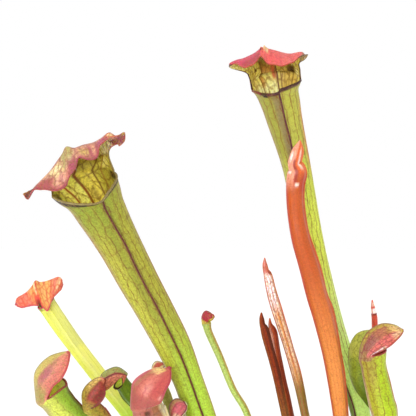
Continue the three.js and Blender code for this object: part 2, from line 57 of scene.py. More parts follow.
BROAD_HOOD_LEFT = [
    [[-18, 0, 3], [-17, 2, 6], [-15.5, 4.5, 8], [-11.5, 8, 11], [-7, 10, 12.5], [-2.5, 11, 13],
     [4, 12, 12], [8.5, 14, 9], [11, 15, 6], [12.5, 15, 3]],
    [[-22.5, -0.5, 1], [-21, 2, 4], [-18.5, 5, 7], [-15.5, 7.5, 10], [-12.5, 10.5, 12], [-9.5, 13, 13],
     [-6, 15, 14], [-2.5, 16, 14], [1.5, 17, 13], [4.5, 18, 12], [7.5, 19.5, 10], [10, 21.5, 7],
     [12, 21.5, 4], [13.5, 19.5, 1]],
    [[-27.5, -2.5, -1], [-25, 0, 0], [-18.5, 6.5, 2], [-14.5, 11.5, 3], [-11.5, 15.5, 4], [-9.5, 19.5, 4],
     [-5.5, 19, 4], [-0.5, 20.5, 4.5], [4.5, 21.8, 4.5], [9, 24.4, 3.2], [12.8, 27.2, 1.2],
     [14.6, 25, 0], [15.6, 23.6, -0.8], [17.5, 22, -1]],
    [[-31.5, -4, -2.5], [-29, -6.5, -3], [-25.5, -1.5, -4.5], [-21, -1, -7], [-14.5, -1.5, -9.5],
     [-8.5, 1.5, -10], [-6.5, 6.5, -9], [-3.5, 10.5, -7.5], [-2.5, 15.5, -6], [2.5, 14, -7], [7, 16, -7],
     [9, 21.5, -5.5], [11.6, 24.2, -3.5], [14.6, 24.6, -2.5], [18, 25.5, -2], [21, 28, -2], [21, 24, -2],
     [18.5, 21, -2]],
]

BROAD_HOOD_TALL = [
    [[-14.5, 3.5, 3], [-13.5, 4.5, 6], [-12, 5, 9], [-9.5, 5.5, 11], [-7.5, 6, 12], [-5, 6, 12.5],
     [-3, 6.5, 12.5], [0, 6.5, 12.5], [2.5, 6.5, 12], [5.5, 7, 11], [8, 7.5, 9.5], [10, 7.5, 8],
     [12, 8, 5], [13, 7, 3]],
    [[-17, 6.5, 1], [-16, 8.5, 3], [-14, 10, 5], [-12, 11.5, 6.5], [-9.5, 12.5, 7.5], [-7.5, 13.5, 8],
     [-4.5, 14, 8.5], [-2, 14, 8.5], [1.5, 13.5, 8], [4.5, 13, 7], [7.5, 12.5, 6], [9.5, 12, 5],
     [11, 11.5, 3], [12.5, 11, 1]],
    [[-24.5, 8.5, 0], [-25, 10.5, -1], [-22, 12.5, -1.5], [-18, 13.5, -1], [-14.5, 15, -0.5],
     [-11.5, 16.5, 0], [-8.5, 18.7, 0], [-6.5, 19.2, 0], [-4.5, 18.6, 0], [-0.5, 17.6, 0], [3, 16.6, 0],
     [7.5, 16, -0.5], [13.5, 16.8, -1], [15.4, 13.5, -1]],
    [[-25.5, 10, -2.5], [-23.5, 11, -5], [-20, 10, -8], [-16.5, 9.5, -11], [-14, 10.5, -12],
     [-11, 12.5, -11], [-9, 15.5, -8], [-7, 13, -10], [-4.5, 11.5, -11.5], [-0.5, 10.5, -13],
     [3.5, 10.5, -13], [8, 12, -11], [12.6, 14.7, -6], [16.6, 15.9, -2]],
]

BOW_TIE_HOOD = [
    [[-3.5, 0.5, 3], [-3.5, 3, 5], [-2.5, 5, 6], [-0.5, 6, 6.5], [2, 5.5, 6], [3, 3.5, 4.5], [3, 1, 2.5]],
    [[-16.5, -0.5, 1], [-16, 2.5, 1.5], [-13.5, 4, 2], [-10.5, 6, 2], [-7.5, 9.5, 2], [-6, 12, 2],
     [-4, 11, 2], [-0.5, 11.5, 2], [3.5, 13, 2], [7, 14.5, 1.5], [9, 13.5, 1], [9.5, 10.5, 0.5]],
    [[-16, -2, 0], [-13.5, -2.5, -1], [-10.5, -1.5, -3], [-6.5, -0.5, -4.5], [-3, -0.5, -6], [-1, -1, -7],
     [1.5, -3, -7.5], [3, -1, -7], [3.5, 1, -6], [4.5, 3.5, -4], [7, 6, -2], [9, 8, -0.5]],
]

# A leaf's stations run from its foot, in the soil, to its mouth or tip: place and half width, and the
# depth for each width where that changes. `facing` is where its front looks, `keel` how far its wing
# stands out, `drop` and `roll` how the mouth tips, and `cavity` the station where the hollow starts.
# A row of a `helmet` is the front and height of its ridge, those of its edge, and its half width.
LEAVES = {
    "pitcher_big_left": dict(
        facing=-76, depth=0.85, keel=2.2, flare=0, drop=4, roll=5, cavity=5,
        broad_hood=BROAD_HOOD_LEFT,
        stations=[
            [-18.5, -8, 97, 4.2], [-21, -8, 103, 4.2], [-28, -9, 122, 5], [-38.5, -10, 150, 6.8],
            [-49, -11, 180.5, 8.1], [-56, -14, 202, 8.2], [-63.5, -18, 221.5, 9.4],
            [-72.5, -22, 240.5, 10.1], [-82.5, -27, 260.5, 10.7], [-92.2, -33, 281, 11.5],
            [-101, -38, 299, 13.2], [-105, -40, 307, 14.8], [-109.3, -42, 313, 17],
        ]),
    "pitcher_tall": dict(
        facing=-88, depth=0.85, keel=1.8, flare=0, drop=3.5, cavity=6, broad_hood=BROAD_HOOD_TALL,
        stations=[
            [48.5, 10, 97, 3.8], [49, 10, 103, 3.8], [49.5, 10.5, 118, 4.2], [47, 11.5, 145, 5],
            [41.5, 12.5, 176.5, 5.8], [35.5, 13, 196, 6.4], [27.5, 12.5, 218.5, 6.7],
            [20.5, 11, 243, 6.9], [13.5, 9, 271, 7], [7.5, 7, 299.5, 7.4], [3.3, 6, 320, 7.8],
            [-3, 4, 343.5, 9.7], [-5, 3.5, 351.5, 10.5], [-7, 3, 358.5, 11.5], [-8, 2, 363.5, 13.8],
        ]),
    "pitcher_lime": dict(
        facing=-80, depth=0.8, keel=0.8, flare=0.3, drop=1.2, cavity=7, broad_hood=BOW_TIE_HOOD,
        stations=[
            [-39, 10, 97, 3.2], [-43, 10, 104, 3.2], [-53, 12, 121, 3.3], [-72, 14, 148, 3.8],
            [-92, 16, 176, 4.3], [-100, 17, 186.5, 4.6], [-111, 18, 200.5, 4.8],
            [-120.5, 19, 213, 4.9], [-128.5, 19, 224.5, 5.1], [-134.5, 20, 233.5, 5.2],
            [-137.5, 20, 238, 5.2],
        ]),
    "pitcher_hooded_left": dict(
        facing=3, depth=1, keel=1, drop=-1, cavity=5,
        helmet=[[-8.5, 8, 1.5, 4.5, 8.6], [-6, 14, 6, 8.5, 7.8], [-0.5, 19, 9, 13.5, 6.4],
                [5, 21, 10.5, 18.5, 4.4], [9.5, 22, 10.5, 21, 1.2]],
        stations=[
            [-44, -4, 97, 3.5], [-49, -5.5, 104.5, 3.5], [-62, -8.5, 124, 3.7], [-81, -12, 142, 4.8],
            [-104, -16, 164, 6.7], [-121.5, -19, 184, 8.3], [-126.5, -21.5, 191.5, 8.7],
            [-130.5, -25, 198.5, 9],
        ]),
    "pitcher_hooded_olive": dict(
        facing=3, depth=1, keel=0.8, drop=0, cavity=5,
        helmet=[[-4.5, 5.5, 3.5, 1.5, 5], [-3, 10, 6.5, 4.5, 4.8], [0.5, 13.5, 8, 8, 4.2],
                [4.5, 15.5, 7.5, 11.5, 3.2], [8, 15, 8, 14, 1]],
        stations=[
            [-43, -16, 97, 2.8], [-49, -17.5, 107, 2.8], [-62, -20.5, 126, 3], [-84, -24, 156, 3.8],
            [-103, -26.5, 183.5, 4.8], [-106, -27, 188, 4.7], [-108.6, -27.5, 191.2, 4.7],
        ]),
    "pitcher_hooded_arching": dict(
        facing=-170, depth=1, keel=0.8, drop=0, cavity=6,
        helmet=[[-4.5, 3.5, -1, 2.4, 4.7], [0.5, 7, 3, -0.8, 4.4], [5.5, 6, 6, -3.6, 3.8],
                [9.5, 3, 8, -5, 2.8], [10, -2, 8.5, -5.8, 1.2]],
        stations=[
            [-34, -3, 97, 2.6], [-37, -3, 104, 2.6], [-45, -3, 121, 2.8], [-60, -4, 148, 3.6],
            [-78.2, -5, 179, 4.1], [-82.7, -6, 185.5, 4.1], [-88, -7, 192, 4.3], [-91.5, -8, 197, 4.1],
            [-94.5, -8, 200.5, 4.4],
        ]),
    "pitcher_hooded_pink": dict(
        facing=3, depth=1, keel=1, drop=0, cavity=4,
        helmet=[[-7.5, 6, 6.5, 1.5, 8.2], [-6.5, 11.5, 8.4, 3.5, 7.8], [-1.5, 16, 10.5, 8.5, 6.8],
                [5.5, 19, 13, 13, 5.2], [10, 18.5, 13.5, 17, 3.2], [12.5, 19.5, 13.5, 18.5, 1]],
        stations=[
            [-34, -22, 97, 3.6], [-38, -23, 106, 3.6], [-49, -26, 130, 4.6], [-66, -31, 162, 7],
            [-76, -33, 187, 8.7], [-77.5, -33.5, 191, 8.4], [-78.5, -34, 194.5, 8],
        ]),
    "pitcher_small_back": dict(
        facing=0, depth=1, keel=0.6, drop=0, cavity=3,
        helmet=[[-3, 4, 2.4, 1.8, 3], [-0.8, 6.8, 3.4, 3.4, 2.4], [3, 6, 3.6, 4.7, 1]],
        stations=[
            [-31, 14, 97, 2.2], [-37, 14, 116, 2.2], [-50, 12, 148, 2.4], [-65.5, 10, 178, 2.7],
            [-69.5, 10, 187.5, 2.8], [-72.5, 10, 194.5, 2.9], [-73.5, 10, 199.5, 3.1],
        ]),
    "pitcher_small_front": dict(
        facing=0, depth=1, keel=0.6, drop=0, cavity=3,
        helmet=[[-4.2, 6.5, 3, 2.6, 4.2], [-1, 10, 4.6, 4.6, 3.4], [3.5, 8.5, 4.8, 6.4, 1.2]],
        stations=[
            [-22, -28, 97, 2.6], [-24, -28, 104, 2.6], [-31, -28, 120, 2.8], [-45, -27, 150, 3.4],
            [-60, -25, 179, 4.1], [-61.5, -26, 184.5, 4.2],
        ]),
    "pitcher_slender": dict(
        facing=-30, depth=1, keel=0.5, drop=0, cavity=5,
        helmet=[[-2.6, 3.5, 1.8, 1.4, 2.6], [-0.5, 6.8, 3.4, 3.2, 2.4], [3.6, 5.4, 4.4, 4.2, 0.9]],
        stations=[
            [-10, 8, 97, 1.9], [-11.5, 8, 115, 1.9], [-16, 9, 145, 1.9], [-22.5, 10, 174.5, 1.9],
            [-31, 10, 190.5, 1.9], [-38.5, 10, 209, 2], [-42.5, 10, 218, 2], [-45, 10, 224, 2.1],
            [-46, 10, 228.5, 2.4],
        ]),
    "pitcher_hooded_right": dict(
        facing=3, depth=1, keel=0.6, drop=0, cavity=5,
        helmet=[[-7, 4.5, -1.5, 3.5, 7], [-5.5, 10, 2.5, 5.5, 6.8], [-2, 15.5, 7.5, 8, 6.2],
                [4.5, 19, 11.5, 11, 5], [11, 18.5, 14.5, 13.5, 3], [16, 16, 16, 15, 1]],
        stations=[
            [43.5, -17, 97, 3.6], [44.5, -17, 105, 3.6], [47, -18, 120, 4], [52, -19, 150, 5.6],
            [51.5, -20, 182, 6.8], [49.5, -20, 191, 7], [47.5, -20, 199.5, 6.9], [45.5, -20, 208, 6.8],
            [44.6, -20, 215.5, 7],
        ]),
    "pitcher_hooded_green": dict(
        facing=3, depth=1, keel=1, drop=0, cavity=5,
        helmet=[[-6, 9.5, 3.4, 2.8, 6.8], [-1.8, 16.3, 7, 5.4, 6], [5.9, 17.8, 10, 8.4, 4],
                [11.5, 14, 12, 12, 1.2]],
        stations=[
            [51.5, -3.5, 97, 3.4], [52.5, -3.5, 105, 3.4], [55, -3, 120, 3.8], [58, -2, 148, 4.8],
            [53, -1, 179, 5.6], [47.5, -1.5, 189, 6], [42.5, -2, 196, 6.2], [40, -2, 202.5, 6.4],
            [40, -2, 209, 6.6],
        ]),
    "pitcher_unopened_orange": dict(
        facing=0, depth=1, keel=0.8,
        stations=[
            [31, -13, 97, 2.8, 1], [31.5, -13.3, 106, 2.8, 1], [32, -14, 120, 3, 1], [31, -16, 150, 3.5, 1],
            [27.5, -18, 182.5, 4.1, 1], [23, -20, 213, 4.9, 1], [17.5, -23, 237.5, 5.5, 1],
            [13, -24, 252, 5.4, 1], [9, -25, 267, 5.4, 1], [4.5, -26, 281.5, 4.9, 1],
            [2, -26, 293.5, 4.5, 1], [1, -26, 303, 4.5, 1], [1, -26, 312, 4.8, 1],
            [1.9, -26, 317.5, 5.1, 1], [1.7, -26, 320.2, 4.7, 0.96], [0.5, -26.3, 323, 4.3, 0.8],
            [1.1, -26.5, 326, 4, 0.8], [2, -26.6, 329.5, 3.4, 0.84], [3, -26.8, 332.6, 2, 0.9],
            [3.5, -27, 335, 0.5, 1],
        ]),
    "pitcher_unopened_veined": dict(
        facing=0, depth=1, keel=0.5,
        stations=[
            [21, -5, 97, 2], [20.5, -5, 106, 2], [20, -5, 118, 2], [16, -5.5, 148, 2.1],
            [9, -6, 179, 2.2], [4.5, -6, 200, 2.5], [-1.5, -6, 221, 2.6], [-8, -6, 241.5, 2.7],
            [-10.5, -6, 250.5, 2.5], [-12.3, -6, 258.5, 2.1], [-13.5, -6, 261.5, 1.4],
            [-14, -6, 265, 1.2], [-14, -6, 268.5, 0.4],
        ]),
    "pitcher_unopened_brown": dict(
        facing=0, depth=1, keel=0.5,
        stations=[
            [10.5, -12, 97, 1.8], [10, -12, 106, 1.8], [9, -12, 118, 1.8], [4, -12, 148, 1.8],
            [-2.5, -12, 181, 2], [-8, -14, 206.5, 2.1], [-13, -15.5, 225, 2.2], [-14.5, -16, 231, 2],
            [-15.6, -16, 233.5, 1.3], [-16, -16, 237, 1.1], [-16, -16, 240, 0.4],
        ]),
    "pitcher_unopened_red": dict(
        facing=0, depth=1, keel=0.5,
        stations=[
            [9, 5, 97, 1.9], [9, 5, 106, 1.9], [8.5, 4.5, 115, 1.9], [5, 3, 145, 2],
            [0.5, 0.5, 178, 2.3], [-5.5, -3, 205, 2.2], [-8.5, -4.5, 223.5, 2], [-9.6, -5, 228, 1.8],
            [-10.7, -5, 231, 1.1], [-11, -5, 234.5, 0.4],
        ]),
    "pitcher_unopened_tip": dict(
        facing=0, depth=1, keel=0.4,
        stations=[
            [50, 27, 97, 1.9], [51, 27.5, 106, 1.9], [53, 28.5, 118, 1.9], [55.5, 30, 145, 1.9],
            [54, 30, 171, 1.9], [52, 30, 204, 1.9], [51, 30, 224.5, 1.6], [50.7, 30, 228, 1.5],
            [50.2, 30, 231, 1.3], [49.7, 30, 234.5, 0.9], [49.5, 30, 237.5, 0.4],
        ]),
}

WALL = 0.9  # thickness of a tube's wall
BLADE = 0.85  # thickness of a hood
BLADE_TAPER = (0.25, 4)  # share by which it thins, over the last mm towards its margin
RIM_FLARE = 1.0  # how far a mouth opens at its very edge
SMALL_FLARE = 0.1  # and no more than this share of its half width
RIDGE = 0.8  # share of a broad hood's depth at which it turns down
RIDGE_SPREAD = 0.14  # share of its depth over which a peak of the ridge falls off
SHOULDER = 0.62  # share of the way from a helmet's edge up to its ridge at which its side bends over
SHOULDER_WIDTH = 0.92  # and its half width there, as a share of the one at the edge
JOIN = 0.2  # share of a hood's depth in which the tube's wall turns into its blade
VEINS_TURN = 0.4  # share of a hood's depth in which the tube's veins fan out
HEM = 1.25  # thickness of a hood's rolled margin, as a share of the blade's there
FRILL_DEPTH = 7  # width of the margin that a frill ruffles
ROLL_STEPS = 9  # one more than the faces round the rolled rim
ROLL_TUCK = 70  # degrees that the rim tucks under on its outside
ROLL_LIFT = 0.3  # how far the rim stands over the mouth, as a share of its half thickness
PER_SPAN = 8  # rings between two stations
RIB_COUNT, RIB_HEIGHT, RIB_SHARPNESS = 9, 0.16, 5
# Waves along a leaf, as their size and the mm in which each turns by one radian.
RIB_WANDER = (0.6, 17)  # of the ribs round the tube, in radians
BULGE = (0.12, 11)  # how far a tube is from round
BULGE_TWIST = 23  # mm in which that turns round the tube by one radian
WING_WAVES = ((0.16, 5.3), (0.1, 2.9))  # of the wing's height, as shares of it
WING_SWAY = (0.22, 6.1)  # of the wing from side to side
BESIDE_WING = (14, 34)  # degrees from the front at which the ribs come in
HAIRS_FROM = 0.45  # share of a broad hood's depth at which the hairs under it come in
# Cross-section of the narrow wing on a tube's front: distance from its middle, share of its height.
WING = [(0, 1), (0.22, 0.97), (0.42, 0.78), (0.62, 0.36), (0.9, 0.1), (1.4, 0)]


# ---------------------------------------------------------------- curves

def through(points, at):
    """Catmull-Rom values through equally spaced rows of points."""
    p = np.asarray(points, float)
    ends = np.concatenate([2 * p[:1] - p[1:2], p, 2 * p[-1:] - p[-2:-1]])
    at = np.asarray(at, float)
    i = np.clip(at.astype(int), 0, len(p) - 2)
    f = (at - i).reshape(at.shape + (1,) * (p.ndim - 1))
    a, b, c, d = ends[i], ends[i + 1], ends[i + 2], ends[i + 3]
    return b + 0.5 * f * (c - a + f * (2 * a - 5 * b + 4 * c - d + f * (3 * (b - c) + d - a)))


def unit(v):
    """The vectors at a length of one."""
    return v / np.maximum(np.linalg.norm(v, axis=-1, keepdims=True), 1e-9)


def smooth(x, lo, hi):
    """0 below lo, 1 above hi and a soft step between them."""
    s = np.clip((x - lo) / (hi - lo), 0, 1)
    return s * s * (3 - 2 * s)


def window(x, lo, hi, soft):
    """1 between lo and hi and 0 outside, with edges `soft` wide. None leaves an end open."""
    mask = np.ones_like(x)
    if lo is not None:
        mask = mask * smooth(x, lo - soft / 2, lo + soft / 2)
    if hi is not None:
        mask = mask * (1 - smooth(x, hi - soft / 2, hi + soft / 2))
    return mask


# ---------------------------------------------------------------- a leaf's skin

PLACES = ("tube", "inside", "hood", "under", "rim")
# Each ring of a leaf: its station, centre, half width, distance from the foot, three axes, and depth.
Stem = namedtuple("Stem", "at centre half run front side along depth")


class Skin:
    """Points and faces of one leaf, with the place of each point on the leaf.

    t is the share of the leaf's length, a the degrees from its front, u and v run across and up the
    hood, edge is the distance to the margin, wing the share of the wing's height, strand and run are
    millimetres round and along, and ray is what the long veins follow.
    """

    FIELDS = ("place", "t", "a", "u", "v", "edge", "wing", "strand", "run", "ray")

    def __init__(self):
        self.points, self.faces, self.count = [], [], 0
        self.fields = {f: [] for f in self.FIELDS}

    def add(self, points, place, **fields):
        """Takes the points in with their fields, and returns their numbers."""
        shape = points.shape[:-1]
        n = int(np.prod(shape))
        index = np.arange(self.count, self.count + n).reshape(shape)
        self.count += n
        self.points.append(points.reshape(-1, 3))
        fields["place"] = PLACES.index(place)
        for name in self.FIELDS:
            value = np.broadcast_to(np.asarray(fields.get(name, 0.0), float), shape)
            self.fields[name].append(value.reshape(-1))
        return index

    def quads(self, low, high, closed=False):
        """Faces between two rows of points, or between the rows of a grid."""
        if closed:
            low, high = np.append(low, low[:1]), np.append(high, high[:1])
        self.faces += zip(low[:-1].tolist(), low[1:].tolist(), high[1:].tolist(), high[:-1].tolist())

    def fan(self, centre, ring, flip=False):
        """Faces from one point to a closed ring."""
        for a, b in zip(ring.tolist(), np.roll(ring, -1).tolist()):
            self.faces.append((centre, a, b) if flip else (centre, b, a))


def stem_frame(leaf):
    """Centres, half widths and axes along a leaf, with the front turned by the leaf's twist."""
    stations = np.array([row if len(row) > 4 else [*row, leaf["depth"]] for row in leaf["stations"]], float)
    at = np.linspace(0, len(stations) - 1, (len(stations) - 1) * PER_SPAN + 1)
    values = through(stations, at)
    centre, half = values[:, :3], np.maximum(values[:, 3], 0.15)
    run = np.concatenate([[0], np.cumsum(np.linalg.norm(np.diff(centre, axis=0), axis=1))])
    along = unit(np.gradient(centre, axis=0))
    turn = leaf["facing"] + np.interp(run / run[-1], *zip(*leaf.get("twist", [(0, 0), (1, 0)])))
    turn = np.radians(turn)
    front = np.stack([np.cos(turn), np.sin(turn), np.zeros_like(turn)], 1)
    front = unit(front - along * (front * along).sum(1, keepdims=True))
    return Stem(at, centre, half, run, front, np.cross(along, front), along, values[:, 4])


def ring_angles(half, sides, backs):
    """Angles from the front for each ring: close together beside the wing, then even."""
    wide = np.minimum(1, half * 0.5 / WING[-1][0])
    near = [np.degrees(np.arcsin(x * wide / half)) for x, _ in WING]
    steps = [near[-1] + (90 - near[-1]) * (i + 1) / (sides + 1) for i in range(sides)]
    right = np.stack(near + steps, 1)
    back = np.tile(np.linspace(90, 270, backs), (len(half), 1))
    shares = [s for _, s in WING] + [0] * sides
    wing = np.array(shares + [0] * backs + shares[:0:-1])
    return np.concatenate([right, back, 360 - right[:, :0:-1]], 1), wing


def ring_points(stem, rows, leaf, angles, wing, inset=0.0):
    """Points and fields of a tube's rings: its outside, or its hollow when they are set in."""
    at, centre, half, run, front, side, along, depth = [v[rows] for v in stem]
    a = np.radians(angles[rows])
    signed = np.where(angles[rows] > 180, angles[rows] - 360, angles[rows])
    flare = leaf.get("flare", min(RIM_FLARE, stem.half[-1] * SMALL_FLARE)) if "cavity" in leaf else 0
    ends = smooth(at, 1, 4) * smooth(stem.at[-1] - at, 0, 2)
    relief = np.zeros_like(a)
    if inset == 0:
        wander, length = RIB_WANDER
        ribs = 0.5 + 0.5 * np.cos(a * leaf.get("ribs", RIB_COUNT) + wander * np.sin(run / length)[:, None])
        relief = (leaf.get("rib_height", RIB_HEIGHT) * ribs ** RIB_SHARPNESS * ends[:, None] * (1 - wing)
                  * smooth(np.abs(signed), *BESIDE_WING))
        bulge, length = BULGE
        relief += (bulge * np.sin(run / length + leaf["facing"])[:, None]
                   * np.cos(2 * a + run[:, None] / BULGE_TWIST))
    h = half[:, None] - inset + relief + flare * smooth(at, stem.at[-1] - 0.6, stem.at[-1])[:, None]
    (long, long_mm), (short, short_mm) = WING_WAVES
    waves = 1 + long * np.sin(run / long_mm) + short * np.sin(run / short_mm + 1)
    height = (leaf["keel"] * ends * waves)[:, None]
    sway, length = WING_SWAY
    sway = (sway * np.sin(run / length) * ends)[:, None] * wing * (inset == 0)
    forward = h * depth[:, None] * np.cos(a) + (height * wing if inset == 0 else 0)
    tilt = np.clip((at - (stem.at[-1] - 2)) / 2, 0, 1)[:, None]
    lift = -tilt * (leaf.get("drop", 0) * np.cos(a) + leaf.get("roll", 0) * np.sin(a))
    lift += tilt ** 2 * np.interp(signed, *zip(*leaf.get("mouth", [(-180, 0), (180, 0)])))
    points = (centre[:, None] + forward[..., None] * front[:, None]
              + (h * np.sin(a) + sway)[..., None] * side[:, None] + lift[..., None] * along[:, None])
    girth = 2 * math.pi * float(np.median(stem.half))
    strand = (angles[rows] - 180) / 360 * girth
    places = dict(t=(run / stem.run[-1])[:, None], a=signed, u=(180 - angles[rows]) / 90, wing=wing[None],
                  edge=(stem.run[-1] - run)[:, None], strand=strand, ray=strand, run=run[:, None])
    return points, places


def hood_net(leaf, mouth):
    """Rows of points of the hood above the mouth, from the +side end of the mouth to the other."""
    if "broad_hood" in leaf:
        return [mouth + np.array(row[::-1], float)[:, [0, 2, 1]] for row in leaf["broad_hood"]]
    turn = math.radians(leaf["facing"])
    front, up = np.array([math.cos(turn), math.sin(turn), 0]), np.array([0, 0, 1.0])
    side = np.cross(up, front)
    rows = []
    for ridge_f, ridge_h, edge_f, edge_h, wide in leaf["helmet"]:
        bend_f, bend_h = edge_f + SHOULDER * (ridge_f - edge_f), edge_h + SHOULDER * (ridge_h - edge_h)
        shape = [(edge_f, wide, edge_h), (bend_f, SHOULDER_WIDTH * wide, bend_h), (ridge_f, 0, ridge_h)]
        shape += [(f, -s, h) for f, s, h in shape[1::-1]]
        rows.append(np.array([mouth + f * front + s * side + h * up for f, s, h in shape]))
    return rows


def pitcher_skin(leaf):
    """An opened pitcher: closed foot, hollow trumpet and hood, one surface with a rolled margin."""
    sides, backs, rows = leaf["mesh"]
    stem = stem_frame(leaf)
    angles, wing = ring_angles(stem.half, sides, backs)
    skin = Skin()
    points, fields = ring_points(stem, slice(None), leaf, angles, wing)
    outer = skin.add(points, "tube", **fields)
    start = leaf["cavity"] * PER_SPAN
    inner_points, inner_fields = ring_points(stem, slice(start, None), leaf, angles, wing, WALL)
    inner = skin.add(inner_points, "inside", **inner_fields)
    for j in range(len(outer) - 1):
        skin.quads(outer[j], outer[j + 1], True)
    for j in range(len(inner) - 1):
        skin.quads(inner[j + 1], inner[j], True)
    foot = skin.add(stem.centre[:1], "tube")[0]
    hollow = skin.add(stem.centre[start:start + 1], "inside", t=start / len(outer))[0]
    skin.fan(foot, outer[0])
    skin.fan(hollow, inner[0], True)

    # The hood grows from the back half of the mouth.
    first = sides + len(WING)
    back = slice(first, first + backs)
    arc = (points[-1, back] + inner_points[-1, back]) / 2
    net = hood_net(leaf, np.array(leaf["stations"][-1][:3], float))
    u = np.linspace(0, 1, backs)
    above = np.array([through(row, u * (len(row) - 1)) for row in net])
    v = np.linspace(0, 1, rows + 1)
    middle = through(np.concatenate([arc[None], above]), v * len(net))
    uu, vv = np.meshgrid(1 - 2 * u, v)
    for place, wide, height in leaf.get("peaks", []):
        near = np.clip(1 - np.abs(uu - place) / wide, 0, 1)
        near *= np.clip(1 - np.abs(vv - RIDGE) / RIDGE_SPREAD, 0, 1)
        middle[..., 2] += height * near ** 1.4
    across, up = np.gradient(middle, axis=1), np.gradient(middle, axis=0)
    normal = unit(np.cross(across, up))
    height = np.concatenate([[0], np.cumsum(np.linalg.norm(np.diff(middle, axis=0), axis=2).mean(1))])
    to_side = (1 - np.abs(uu)) * np.linalg.norm(np.diff(middle, axis=1), axis=2).sum(1)[:, None] / 2
    to_edge = (height[-1] - height)[:, None] + 0 * uu
    edge = np.minimum(to_side, to_edge)
    if "frill" in leaf:
        size, wave = leaf["frill"]
        path = uu * np.linalg.norm(np.diff(middle[-1], axis=0), axis=1).sum() / 2
        ripple = np.sin(path / wave * 2 * math.pi) + 0.5 * np.sin(path / wave * 4.4 + 1)
        ruffle = size * ripple * smooth(-edge, -FRILL_DEPTH, 0) * smooth(vv, 0.3, 0.7)
        middle = middle + normal * ruffle[..., None]
    taper, margin = BLADE_TAPER
    thick = BLADE / 2 * (1 - taper * smooth(-edge, -margin, 0))
    thick = np.where(vv < JOIN, WALL / 2 + (thick - WALL / 2) * vv / JOIN, thick)[..., None]
    girth = 2 * math.pi * float(np.median(stem.half))
    width = np.concatenate([np.zeros((rows + 1, 1)),
                            np.cumsum(np.linalg.norm(np.diff(middle, axis=1), axis=2), axis=1)], axis=1)
    width -= width[:, -1:] / 2
    climb = np.cumsum(np.linalg.norm(np.diff(middle, axis=0, prepend=middle[:1]), axis=2), axis=0)
    ray = -uu * girth / 4
    strand = ray + (width - ray) * smooth(vv, 0, VEINS_TURN)  # veins run on from the tube into the hood
    hood_fields = dict(u=uu[1:], v=vv[1:], edge=edge[1:], t=1 + vv[1:], a=-uu[1:] * 90 + 180,
                       strand=strand[1:], ray=ray[1:], run=stem.run[-1] + climb[1:])
    hood = skin.add((middle + normal * thick)[1:], "hood", **hood_fields)
    under = skin.add((middle - normal * thick)[1:], "under", **hood_fields)
    hood = np.concatenate([outer[-1:, back], hood])
    under = np.concatenate([inner[-1:, back], under])
    for j in range(rows):
        skin.quads(hood[j], hood[j + 1])
        skin.quads(under[j + 1], under[j])

    # The margin runs round the front of the mouth, up one side of the hood, over and down.
    n = outer.shape[1]
    lip = list(range(back.stop - 1, n)) + list(range(0, first + 1))
    way = [(outer[-1, k], inner[-1, k]) for k in lip]
    way += [(hood[j, 0], under[j, 0]) for j in range(1, rows + 1)]
    way += [(hood[rows, k], under[rows, k]) for k in range(1, backs)]
    way += [(hood[j, -1], under[j, -1]) for j in range(rows - 1, 0, -1)]
    way = np.array(way)
    spots = np.concatenate(skin.points)
    out, inn = spots[way[:, 0]], spots[way[:, 1]]
    mid_top, mid_low = (points[-1] + inner_points[-1]) / 2, (points[-2] + inner_points[-2]) / 2
    away = [mid_top[k] - mid_low[k] for k in lip]
    away += [middle[j, 0] - middle[j, 1] for j in range(1, rows + 1)]
    away += [middle[rows, k] - middle[rows - 1, k] for k in range(1, backs)]
    away += [middle[j, -1] - middle[j, -2] for j in range(rows - 1, 0, -1)]
    away = unit(np.array(away))
    for _ in range(2):
        away = unit(away + 0.5 * (np.roll(away, 1, 0) + np.roll(away, -1, 0)))
    outward = unit(out - inn)
    away = unit(away - outward * (away * outward).sum(1, keepdims=True))
    half = np.linalg.norm(out - inn, axis=1) / 2
    along_lip = np.zeros(len(way))
    along_lip[:len(lip)] = np.sin(np.linspace(0, math.pi, len(lip))) ** 0.5
    bead = half + (leaf["bead"] - half) * along_lip
    bead = np.where(np.arange(len(way)) < len(lip), bead, half * HEM)
    middle_way = (out + inn) / 2 + outward * (bead - half)[:, None]
    turns = np.linspace(0, 1, ROLL_STEPS)[1:-1, None]
    begin = -math.radians(ROLL_TUCK) * along_lip
    phi = begin + (math.pi - begin) * turns
    roll = (middle_way + (bead * np.cos(phi))[..., None] * outward
            + (bead * (np.sin(phi) + ROLL_LIFT * along_lip))[..., None] * away)
    fields = {f: np.concatenate(skin.fields[f])[way[:, 0]] for f in Skin.FIELDS}
    fields.pop("place")
    fields["edge"] = 0.0
    rim = skin.add(roll, "rim", **fields)
    strip = np.concatenate([way[None, :, 0], rim, way[None, :, 1]])
    for j in range(len(strip) - 1):
        skin.quads(strip[j], strip[j + 1], True)
    return skin


def closed_skin(leaf):
    """A leaf that hasn't opened: one tube up to its tip."""
    stem = stem_frame(leaf)
    sides, backs, _ = leaf["mesh"]
    angles, wing = ring_angles(stem.half, sides, backs)
    skin = Skin()
    points, fields = ring_points(stem, slice(None), leaf, angles, wing)
    rings = skin.add(points, "tube", **fields)
    for j in range(len(rings) - 1):
        skin.quads(rings[j], rings[j + 1], True)
    skin.fan(skin.add(stem.centre[:1], "tube")[0], rings[0])
    tip = stem.centre[-1:] + stem.along[-1:] * stem.half[-1]
    skin.fan(skin.add(tip, "tube", t=1.0, run=stem.run[-1])[0], rings[-1], True)
    return skin


